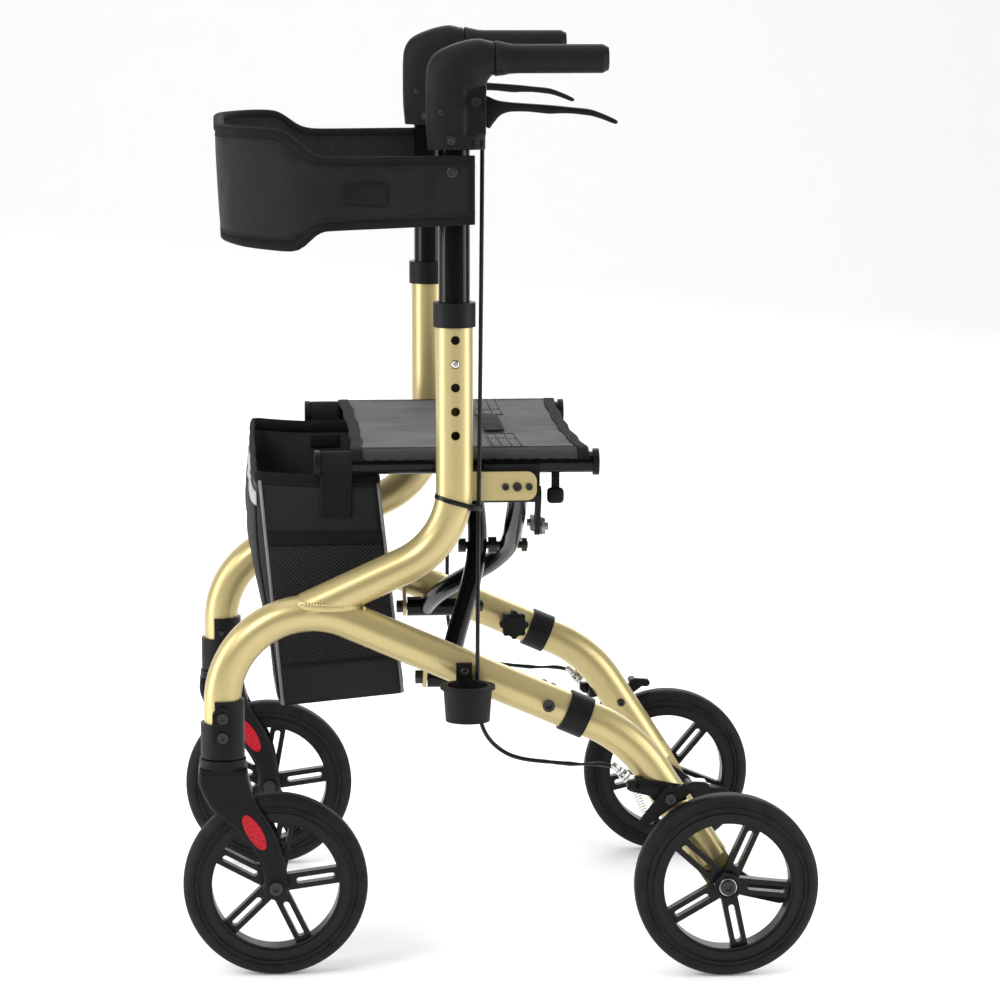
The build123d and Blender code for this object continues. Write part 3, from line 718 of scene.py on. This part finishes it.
# ---- bag
BAG_Y0, BAG_Y1 = -196.0, 190.0
BAG_TOP_FRONT, BAG_TOP_REAR = (-246.0, 515.0), (-121.5, 511.0)
BAG_LOW_FRONT, BAG_LOW_REAR = (-223.0, 271.0), (-96.0, 283.0)
WAY = {"near": -1, "far": 1}
BAG_FOLD = {"axis": (0, 1, 0), "anchor": (0, MID_Y - 0.212, 0.526), "keep": 0.172}
BAG_BELLY = [(0, 2), (0.3, 6), (0.5, 12), (0.72, 17), (0.88, 9), (1, 2)]


def bag_point(face, u, level, off):
    """A point on one wall of the bag; u runs along the wall, level from bottom to top."""
    low_x, low_z = BAG_LOW_FRONT if face == "front" else BAG_LOW_REAR
    top_x, top_z = BAG_TOP_FRONT if face == "front" else BAG_TOP_REAR
    arch = math.sin(math.pi * max(0.0, min(1.0, u)))
    far = {"near": 0.0, "far": 1.0}.get(face, u)
    rise = 7.5 * far * max(0.0, level - 0.75) / 0.25
    if face in ("near", "far"):
        front_x, front_z = (low + (top - low) * level
                            for low, top in zip(BAG_LOW_FRONT, BAG_TOP_FRONT))
        rear_x, rear_z = (low + (top - low) * level
                          for low, top in zip(BAG_LOW_REAR, BAG_TOP_REAR))
        x, z = front_x + (rear_x - front_x) * u, front_z + (rear_z - front_z) * u
        way = WAY[face]
        bulge = 2.6 * arch * math.sin(math.pi * min(1, level * 1.1)) ** 0.7 if level < 0.9 else 0.6
        crinkle = 1.4 * noise.noise(Vector((x / 34, way, z / 40))) * arch
        y = (BAG_Y0 if way < 0 else BAG_Y1) + way * (bulge + crinkle + off)
        z += rise - 2.5 * arch * max(0, level - 0.9) * 10
        return mm(x, y, z)
    x = low_x + (top_x - low_x) * level
    z = low_z + (top_z - low_z) * level
    y = BAG_Y0 + (BAG_Y1 - BAG_Y0) * u
    crinkle = 2.2 * noise.noise(Vector((y / 55, 2.0, z / 48))) + 0.8 * noise.noise(
        Vector((y / 18, 5.0, z / 22)))
    z += rise - 7.0 * arch ** 1.5 * max(0, level - 0.9) * 10
    if face == "front":
        full = (1 - min(1.0, abs(2 * u - 1)) ** 6) ** 0.5
        return mm(x - off - eased(BAG_BELLY, level, 0.1) * full - crinkle * arch ** 0.5, y, z)
    return mm(x + off + (3.5 * arch * (1 - level) + crinkle) * arch ** 0.5, y, z)


def bag_ring(level, off):
    """One loop round the bag, with softened corners."""
    loop = []
    for face, count, back in (("near", 22, False), ("rear", 60, False), ("far", 22, True),
                              ("front", 60, True)):
        for k in range(count):
            u = 0.035 + 0.93 * (k / (count - 1)) if count == 22 else 0.012 + 0.976 * k / (count - 1)
            loop.append(bag_point(face, 1 - u if back else u, level, off))
    return loop


PANEL_THICK = 0.9


def bag_panel(name, face, low, high, off, material, u0=0.03, u1=0.97):
    """A pocket, hem or band sewn on one wall of the bag."""
    rows, cols = max(3, int((high - low) * 44)), 44
    verts = [bag_point(face, u0 + (u1 - u0) * j / cols, low + (high - low) * i / rows, off)
             for i in range(rows + 1) for j in range(cols + 1)]
    return sheet(name, verts, rows, cols, material, PANEL_THICK)


def make_bag():
    steps = 34
    rings = [bag_ring(i / steps, 0) for i in range(steps + 1)]
    rings += [bag_ring(1 - i / steps, -2.0) for i in range(steps)]
    rings.append([p + Vector((0, 0, 0.002)) for p in bag_ring(0, -2.0)])
    shell = loft("bag_shell", rings, CLOTH["bag"])
    # inner walls take the lighter inside cloth, painted light for the shaded inside of the bag
    shell.data.materials.append(CLOTH["inside"])
    for poly in shell.data.polygons[steps * len(rings[0]):]:
        poly.material_index = 1
    pieces = [shell]
    rim = resample(bag_ring(1.0, -1.0), 0.004, True)
    rim = [p - Vector((0, 0, 0.005)) for p in rim]
    pieces.append(strip("bag_rim_binding", rim, UP, 0.0058, 0.014,
                        CLOTH["binding"], True))
    for face, way in WAY.items():
        for end, u in (("front", 0.012), ("rear", 0.988)):
            line = [bag_point(face, u, 0.005 + 0.965 * k / 30, 1.0) for k in range(31)]
            pieces.append(strip(f"bag_piping_{face}_{end}", line, Vector((0, way, 0)),
                                0.0034, 0.0034, CLOTH["piping"]))
        pieces.append(bag_panel(f"bag_pocket_{face}", face, 0.17, 0.70, 2.0, CLOTH["net"]))
        pieces.append(bag_panel(f"bag_hem_{face}", face, 0.69, 0.745, 2.7, CLOTH["binding"]))
        pieces.append(bag_panel(f"bag_foot_{face}", face, 0.01, 0.18, 2.5, CLOTH["bag"]))
        for label, level in (("hem", 0.70), ("rim", 0.965), ("foot", 0.172)):
            row = [bag_point(face, 0.04 + 0.92 * k / 30, level, 3.0 if label != "rim" else 2.4)
                   for k in range(31)]
            pieces.append(stitches(f"bag_seam_{label}_{face}", row, Vector((0, way, 0)),
                                   0.0034, 0.0026))
    for name, low, high, off, cloth, u0 in (("bag_pocket_front", 0.10, 0.855, 1.4, "net", 0.02),
                                            ("bag_foot_front", 0.01, 0.11, 1.8, "bag", 0.02),
                                            ("bag_band_low", 0.86, 0.92, 1.6, "silver", 0.01)):
        pieces.append(bag_panel(name, "front", low, high, off, CLOTH[cloth], u0, 1 - u0))
    for side, tag in TAG.items():
        wall = BAG_Y0 - 3.2 if side < 0 else BAG_Y1 + 3.2
        loop = 12.3  # radius of the strap where it runs over the rail
        hang = [(wall - side * 0.2, 469), (wall, 484), (wall + side * 2, 497)]
        hang += [(side * (RAIL_Y + loop * math.cos(math.radians(a))),
                  RAIL_Z + loop * math.sin(math.radians(a))) for a in range(-20, 201, 20)]
        hang += [(side * 198.6, 512), (wall - side * 4.6, 503), (wall - side * 5.4, 490)]
        run = smooth_path([mm(-166, y, z) for y, z in hang], 0.003)
        ups = [t.cross(Vector((1, 0, 0))) for t in tangents(run)]
        pieces.append(strip(f"bag_strap_{tag}", run, ups, 0.033, 0.0019, CLOTH["webbing"],
                            sides=16))
        box = [(-180, 471, -152, 471), (-180, 497, -152, 497), (-180, 471, -180, 497),
               (-152, 471, -152, 497), (-180, 471, -152, 497), (-152, 471, -180, 497)]
        for k, (x0, z0, x1, z1) in enumerate(box):
            row = [mm(x0 + (x1 - x0) * i / 10,
                      wall + side * (1.3 + 2.0 * max(0, z0 + (z1 - z0) * i / 10 - 484) / 13),
                      z0 + (z1 - z0) * i / 10) for i in range(11)]
            pieces.append(stitches(f"bag_box_stitch_{tag}_{k}", row, Vector((0, side, 0)),
                                   0.003, 0.0022))
    dress(pieces, "bag", BAG_FOLD)
    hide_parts("bag")


make_bag()


# ---- hard details
def lathe(name, centre, axis, profile, material, hexed=0.0):
    """Turns (radius, height) pairs round an axis; radii below hexed become hexagonal."""
    axis = axis.normalized()
    side = axis.orthogonal().normalized()
    other = axis.cross(side)
    rings = []
    for radius, height in profile:
        ring = []
        for j in range(36):
            a = math.tau * j / 36
            flat = math.cos(math.pi / 6) / math.cos((a % (math.pi / 3)) - math.pi / 6)
            r = radius * (flat if radius < hexed else 1.0)
            ring.append(centre + (side * math.cos(a) + other * math.sin(a)) * r / 1000
                        + axis * height / 1000)
        rings.append(ring)
    return loft(name, rings, material)


def socket_screw(name, centre, axis, radius, height, material):
    """Button-head screw with a hexagonal socket."""
    r, h = radius, height
    profile = [(r, -1.5), (r, h * 0.35), (r * 0.93, h * 0.75), (r * 0.74, h), (r * 0.50, h * 1.05),
               (r * 0.46, h * 0.95), (r * 0.44, h * 0.2), (0.05, h * 0.15)]
    return lathe(name, centre, axis, profile, material, hexed=r * 0.48)


def hex_nut(name, centre, axis, radius, height, bore, material):
    profile = [(bore, -height / 2), (radius * 0.92, -height / 2), (radius, -height * 0.36),
               (radius, height * 0.36), (radius * 0.92, height / 2), (bore, height / 2)]
    return lathe(name, centre, axis, profile, material, hexed=radius * 1.2)


def rounded_block(name, centre, size, material, power=0.35):
    """A soft-cornered block."""
    rings = []
    for i in range(1, 16):
        b = math.pi * (i / 16 - 0.5)
        level = squared(math.sin(b), power)
        shrink = abs(math.cos(b)) ** power
        ring = []
        for j in range(32):
            a = math.tau * j / 32
            x, y = squared(math.cos(a), power) * shrink, squared(math.sin(a), power) * shrink
            ring.append(centre + Vector((x * size[0], y * size[1], level * size[2])) / 2000)
        rings.append(ring)
    return loft(name, rings, material)


GRIP_Y = 244.0  # the handles, uprights and legs all lie in this plane
# sections of the housing: front x and z, rear x and z, half width
HOUSING = [(-72, 849.5, -14.5, 849.5, 20), (-72.3, 853, -14.4, 853, 20),
           (-73.6, 866, -14.2, 865, 20), (-74.3, 880, -14, 877, 20), (-74.4, 900, -13.9, 892, 20),
           (-74.2, 918, -13.8, 905, 19.8), (-73, 931, -13.4, 912, 19.5),
           (-69.2, 940.5, -12.4, 917, 19.2), (-62.5, 947.3, -10.6, 920, 19),
           (-51, 953, -9, 921.8, 18.8), (-37, 957.6, -8, 922.8, 18.6),
           (-25, 959.9, -7.4, 923.2, 18.4), (-18, 959.6, -7, 923.3, 18.2),
           (-12, 958.2, -6.4, 923.3, 18), (-6.6, 957.2, -6.2, 923.3, 17.6)]
POD_X, POD_LOW, POD_HIGH, POD_SINK = -36.5, 863.0, 913.0, 3.0
# stations of the lever: x, top z, bottom z, width
LEVER = [(-26.0, 905.0, 892.0, 8.0), (-12.4, 902.6, 870.6, 9.0), (-6.0, 899.8, 875.5, 9.5),
         (-1.0, 898.2, 881.6, 10.0), (5.0, 897.2, 885.2, 10.5), (13.0, 896.3, 886.8, 11.0),
         (30.0, 895.1, 886.6, 12.0), (48.8, 893.7, 884.6, 12.4), (61.1, 892.6, 884.9, 12.4),
         (73.6, 891.2, 884.6, 12.0), (84.4, 890.2, 883.4, 11.6), (93.7, 888.6, 882.0, 11.0),
         (104.6, 884.6, 878.6, 10.0), (113.0, 880.9, 875.3, 9.4), (117.6, 878.6, 874.0, 8.6),
         (119.4, 877.2, 875.4, 6.0)]


def smoothed(rows, steps):
    """Rows of numbers with smooth in-between rows added."""
    out = [[curve_point(*four, j / steps) for four in zip(*neighbours(rows, i))]
           for i in range(len(rows) - 1) for j in range(steps)]
    return out + [list(rows[-1])]


def housing_ring(row, side):
    """One section of the housing, with the flat sunk panel of the lever pod."""
    ax, az, bx, bz, half = row
    ring = []
    for j in range(96):
        a = math.tau * j / 96
        c, s = squared(math.cos(a), 0.82), squared(math.sin(a), 0.82)
        x = (ax + bx) / 2 + (ax - bx) / 2 * c
        z = (az + bz) / 2 + (az - bz) / 2 * c
        y = half * s
        if x > POD_X and POD_LOW < z < POD_HIGH:
            fade = min(1.0, (x - POD_X) / 1.5, (z - POD_LOW) / 1.5, (POD_HIGH - z) / 1.5)
            limit = half - POD_SINK
            if abs(y) > limit:
                y = math.copysign(abs(y) + (limit - abs(y)) * fade, y)
            else:
                y = math.copysign(max(abs(y), min(limit, limit * 1.6 * abs(s) ** 0.5) * fade), y)
        ring.append(mm(x, side * GRIP_Y + y, z))
    return ring


def make_handle(side):
    tag = TAG[side]
    way = Vector((0, side, 0))
    rows = smoothed(HOUSING, 6)
    # both ends are drawn in a little to soften their rims
    cap_low = [v + d for v, d in zip(rows[0], (2, 0, -2, 0, -2))]
    cap_high = [v + d for v, d in zip(rows[-1], (0, -2, 0, 2, -2))]
    rings = [housing_ring(r, side) for r in [cap_low] + rows + [cap_high]]
    shell = loft(f"handle_shell_{tag}", rings, HARD["soft"])
    shell.data.materials.append(HARD["black"])
    for poly in shell.data.polygons:
        p = poly.center * 1000
        half_out = abs(p.y - MID_Y * 1000 - side * GRIP_Y)
        if p.x > POD_X + 1 and POD_LOW + 1 < p.z < POD_HIGH - 1 and half_out > 12:
            poly.material_index = 1
    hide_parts(f"handle_housing_{tag}")
    pieces = [shell]
    tree = surface(shell)
    for label, x, z, r in (("upper", -59.9, 887.6, 4.3), ("lower", -50.3, 859.6, 5.2)):
        for face, out in (("outer", way), ("inner", -way)):
            spot = lay(tree, mm(x, side * GRIP_Y, z) + out * 0.02, out, 0.0)
            pieces.append(lathe(f"handle_seat_{label}_{face}_{tag}", spot, out,
                                [(r + 1.5, -1.5), (r + 1.5, 0.3), (r + 0.9, 0.7), (r + 0.4, 0.4),
                                 (r + 0.4, -1.0)], HARD["soft"]))
            pieces.append(socket_screw(f"handle_screw_{label}_{face}_{tag}", spot, out, r, 0.5,
                                       HARD["dark_steel"]))
    for k, x in enumerate((-27.5, -19.5)):
        spot = lay(tree, mm(x, side * GRIP_Y, 855.5) + way * 0.02, way, 0.0)
        pieces.append(rounded_block(f"handle_cable_port_{k}_{tag}", spot, (4.2, 2.4, 8.0),
                                    HARD["black"]))
    collar = [(16.0, 0.0), (18.4, 0.0), (18.9, 1.2), (18.9, 3.4), (18.2, 5.0), (17.4, 9.0)]
    pieces.append(lathe(f"grip_collar_{tag}", mm(-5.2, side * GRIP_Y, 940.2), Vector((1, 0, 0)),
                        [(r * 0.94, h) for r, h in collar], HARD["soft"]))
    for piece in pieces:
        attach(piece, f"handle_{tag}")


def make_lever(side):
    tag = TAG[side]
    rings = []
    for x, high, low, wide in smoothed(LEVER, 4):
        ring = []
        for j in range(28):
            a = math.tau * j / 28
            y = squared(math.cos(a), 0.6) * wide / 2
            z = squared(math.sin(a), 0.6) * (high - low) / 2
            ring.append(mm(x, side * GRIP_Y + y, (high + low) / 2 + z))
        rings.append(ring)
    blade = loft(f"lever_blade_{tag}", rings, HARD["black"])
    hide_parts(f"brake_lever_{tag}")
    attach(blade, f"lever_{tag}")


WELD = [(-207, 388.6), (-198, 386.8), (-187, 385.4), (-175, 384.6), (-162, 384.2), (-148, 383.8),
        (-138, 383.2)]


def make_weld(side):
    """A wavy bead where the two tubes of a side frame meet."""
    tag = TAG[side]
    tree = surface(nodes[f"side_frame_{tag}"])
    for face, out in (("outer", side), ("inner", -side)):
        ray = Vector((0, out, 0))
        run = [lay(tree, p, ray, 0.0002) for p in
               smooth_path([mm(x, side * GRIP_Y + out * 14, z) for x, z in WELD], 0.0006)]
        rings = []
        for i, (p, t) in enumerate(zip(run, tangents(run))):
            fade = min(1.0, (i + 1) / 6, (len(run) - i) / 6)
            beat = 0.72 + 0.28 * abs(math.sin(i * 0.62)) + 0.10 * noise.noise(p * 90)
            across = t.cross(ray).normalized()
            ring = [p + across * math.cos(math.tau * j / 14) * 0.0048 * beat * fade
                    + ray * math.sin(math.tau * j / 14) * 0.0018 * beat * fade
                    for j in range(14)]
            rings.append(ring)
        bead = loft(f"weld_bead_{face}_{tag}", rings, HARD["gold"])
        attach(bead, f"frame_{tag}")


def make_tie(side):
    """Cable tie holding the brake cable against the upright."""
    tag = TAG[side]
    lean = Vector((0.964, 0, -0.266))
    centre = mm(-46, side * GRIP_Y, 491.6)
    loop = []
    for j in range(72):
        a = math.tau * j / 72
        c, s = math.cos(a), math.sin(a)
        reach = 0.0203
        if c >= 0:  # the side that also takes in the cable
            c, s, reach = c ** 0.6, squared(s, 0.6), 0.0290
        loop.append(centre + lean * reach * c + Vector((0, 0.0200 * s, 0)))
    loop = resample(loop, 0.0015, True)
    outs = [(p - centre).normalized() for p in loop]
    band = strip(f"cable_tie_band_{tag}", loop, outs, 0.0050, 0.0014, HARD["sheath"], True)
    head = rounded_block(f"cable_tie_head_{tag}", centre + mm(16, side * 20.6, -4.4), (8, 4.4, 6.4),
                         HARD["sheath"])
    for piece in (band, head):
        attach(piece, f"frame_{tag}")


def make_brake_details(side):
    tag = TAG[side]
    run = Vector((0.731, 0, -0.682))
    foot = mm(121.5, side * 268, 212.8)
    pieces = []
    for label, along, r, high, bore in (("lock", 1.0, 5.6, 3.4, 3.2),
                                        ("barrel", 6.6, 6.3, 6.0, 4.2),
                                        ("seat", 11.6, 6.6, 2.6, 4.2)):
        pieces.append(hex_nut(f"adjuster_{label}_{tag}", foot + run * along / 1000, run, r, high,
                              bore, HARD["zinc"]))
    pieces.append(lathe(f"cable_ferrule_{tag}", foot - run * 0.004, run,
                        [(3.2, -6), (3.5, -5.6), (3.5, 3), (3.2, 3.4)], HARD["zinc"]))
    for piece in pieces:
        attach(piece, f"frame_{tag}")
    start, end = mm(139.5, side * 266, 190.0), mm(151.0, side * 266, 161.0)
    axis = (end - start).normalized()
    one = axis.cross(Vector((0, 1, 0))).normalized()
    turns, per = 11, 14
    coil = []
    for i in range(turns * per + 1):
        a = math.tau * i / per
        coil.append(start + (end - start) * i / (turns * per)
                    + (one * math.cos(a) + Vector((0, 1, 0)) * math.sin(a)) * 0.0034)
    outs = [(p - start - axis * (p - start).dot(axis)).normalized() for p in coil]
    spring = strip(f"return_spring_{tag}", coil, outs, 0.0009, 0.0009, HARD["zinc"], sides=8)
    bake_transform(spring)
    tree = surface(nodes[f"brake_arm_{tag}"])
    top = [lay(tree, mm(x, side * 280.3, 199), UP, 0.0007)
           for x in (194, 197, 200, 203, 206, 209)]
    plate = strip(f"shoe_plate_{tag}", top, UP, 0.0165, 0.0016,
                  HARD["zinc"], sides=16)
    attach(plate, f"brake_arm_{tag}")


BRACKET = [(129.5, 197.5), (141.5, 203.4), (169, 199.5), (190, 196.0), (192, 181), (172, 174.5),
           (160, 177), (153, 185.2), (132.5, 190.5)]


def prism(name, outline, y0, y1, bevel, material):
    """A plate cut to an outline in side view, with softened rims."""
    mid = Vector((sum(p[0] for p in outline), 0, sum(p[1] for p in outline))) / len(outline)
    rings = []
    for y, inset in ((y0, bevel), (y0 + bevel, 0.0), (y1 - bevel, 0.0), (y1, bevel)):
        ring = []
        for x, z in outline:
            point = Vector((x, 0, z))
            ring.append(point - (point - mid).normalized() * inset + Vector((0, y, 0)))
        rings.append([p / 1000 for p in ring])
    return loft(name, rings, material)


def make_bracket(side):
    """Bent plate on the outside of the leg, its ear holding the cable adjuster."""
    tag = TAG[side]
    low, high = sorted((side * 262.6, side * 267.2))
    plate = prism(f"bracket_plate_{tag}", BRACKET, low, high, 0.6, HARD["black"])
    ear = rounded_block(f"bracket_ear_{tag}", mm(134.5, side * 266.5, 197.2), (10, 13, 9.5),
                        HARD["black"], 0.3)
    back = prism(f"bracket_back_{tag}", [(138, 188), (140, 203.5), (146, 204.5), (150, 190)],
                 *sorted((side * 240, side * 263)), 0.6, HARD["black"])
    tree = surface(nodes[f"rear_leg_{tag}"])
    inward = Vector((0, -side, 0))
    spot = lay(tree, mm(173.9, side * 235, 185.5), inward, 0.0004)
    bolt = socket_screw(f"bracket_bolt_{tag}", spot, inward, 4.6, 1.6, HARD["dark_steel"])
    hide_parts(f"brake_bracket_{tag}")
    for piece in (plate, ear, back, bolt):
        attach(piece, f"frame_{tag}")


def make_hub_rings(side):
    tag = TAG[side]
    way = Vector((0, side, 0))
    hub = mm(231.5, side * 297.6, 95)
    ring = [(6.9, -2.0), (9.2, -2.0), (9.4, -0.2), (9.0, 0.5), (8.0, 0.6), (7.6, 0.1), (6.9, 0.0)]
    step = [(9.8, -2.0), (11.6, -2.0), (12.0, 0.0), (11.4, 0.9), (10.2, 0.9), (9.8, 0.2)]
    for name, profile, finish in (("bearing_ring", ring, "zinc"), ("hub_step", step, "wheel")):
        piece = lathe(f"{name}_{tag}", hub, way, profile, HARD[finish])
        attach(piece, f"rear_wheel_{tag}")


def make_lock_tab():
    """Webbing neck with a moulded tab, hanging from the rail under the seat."""
    neck = [mm(61, -200, z) for z in (517, 510, 503, 497)]
    strap = strip("fold_tab_neck", neck, Vector((0, -1, 0)), 0.0085, 0.003,
                  CLOTH["webbing"], sides=16)
    tab = rounded_block("fold_tab", mm(61, -200, 489.5), (17.6, 9.0, 16.5), HARD["black"], 0.5)
    for piece in (strap, tab):
        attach(piece, "cross_b")


for flank in (-1, 1):
    make_handle(flank)
    make_lever(flank)
    make_weld(flank)
    make_tie(flank)
    make_brake_details(flank)
    make_bracket(flank)
    make_hub_rings(flank)
    screw = socket_screw(f"backrest_screw_{TAG[flank]}", mm(-49.8, flank * 271.8, 827.6),
                         Vector((0, flank, 0)), 5.6, 1.7, HARD["dark_steel"])
    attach(screw, "handle_left")
    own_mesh(screw)
make_lock_tab()
cup_screw = socket_screw("cup_screw", mm(-37.5, -269.4, 318), Vector((0, -1, 0)), 4.4, 1.4,
                         HARD["dark_steel"])
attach(cup_screw, "frame_left")


# ---- studio
def area(name, place, target, size, power, size_y=None):
    """A soft lamp aimed at a target."""
    lamp = bpy.data.lights.new(name, "AREA")
    lamp.shape = "RECTANGLE"
    lamp.size = size
    lamp.size_y = size_y or size
    lamp.energy = power
    obj = bpy.data.objects.new(name, lamp)
    obj.location = place
    obj.rotation_euler = (Vector(target) - Vector(place)).to_track_quat("-Z", "Y").to_euler()
    scene.collection.objects.link(obj)


area("key", (-2.2, -2.6, 2.8), (0, 0, 0.5), 1.5, 70)
area("fill", (2.8, -2.2, 1.6), (0, 0, 0.5), 1.4, 16)
area("side_left", (-2.4, -0.3, 0.9), (0, 0, 0.6), 1.2, 34, 2.0)
area("side_right", (2.4, -0.6, 0.9), (0, 0, 0.6), 1.2, 30, 2.0)
area("top", (0, 0.2, 3.4), (0, 0, 0), 3.0, 42)
area("rim", (0.6, 2.8, 2.0), (0, 0, 0.6), 2.4, 40)

world = bpy.data.worlds.new("studio")
world.use_nodes = True
tree = world.node_tree
sky = tree.nodes["Background"]
sky.inputs["Color"].default_value = (1, 1, 1, 1)
# the sky is white to the camera, soft as a light and dim in reflections
path = tree.nodes.new("ShaderNodeLightPath")
level = tree.nodes.new("ShaderNodeMapRange")
level.inputs["To Min"].default_value = 0.46
level.inputs["To Max"].default_value = 0.08
seen = tree.nodes.new("ShaderNodeMath")
seen.operation = "MAXIMUM"
tree.links.new(path.outputs["Is Glossy Ray"], level.inputs["Value"])
tree.links.new(level.outputs[0], seen.inputs[0])
tree.links.new(path.outputs["Is Camera Ray"], seen.inputs[1])
tree.links.new(seen.outputs[0], sky.inputs["Strength"])
scene.world = world
scene.view_settings.view_transform = "Standard"

# floor and back wall of paper, joined by a quarter round
BEND = 2.4
sweep = [(-6.0, 0.0), (BEND, 0.0)]
sweep += [(BEND + BEND * math.sin(math.radians(a)), BEND - BEND * math.cos(math.radians(a)))
          for a in range(6, 91, 6)]
sweep += [(2 * BEND, 9.0)]
paper = [(x, y, z - 0.0005) for x in (-9, 9) for y, z in sweep]
paper_shade = Shader("studio_paper", (0.93, 0.93, 0.93), 0.85)
paper_shade.bump(paper_shade.noise(8), 0.02, 0.001)
paper_shade.bsdf.inputs["Emission Color"].default_value = (1, 1, 1, 1)
paper_shade.bsdf.inputs["Emission Strength"].default_value = 0.14
floor = mesh_object("backdrop", paper, [(i, i + 1, i + 1 + len(sweep), i + len(sweep))
                                        for i in range(len(sweep) - 1)], paper_shade.mat)

EYE = Vector((-0.2885, -4.2762 + MID_Y, 1.0852))
YAW, PITCH = math.radians(4.099), math.radians(8.354)
camera = bpy.data.cameras.new("camera")
camera.sensor_width = 36
camera.lens = 144
view = bpy.data.objects.new("camera", camera)
forward = Vector((math.sin(YAW) * math.cos(PITCH), math.cos(YAW) * math.cos(PITCH),
                  -math.sin(PITCH)))
view.location = EYE
view.rotation_euler = forward.to_track_quat("-Z", "Y").to_euler()
scene.collection.objects.link(view)
scene.camera = view
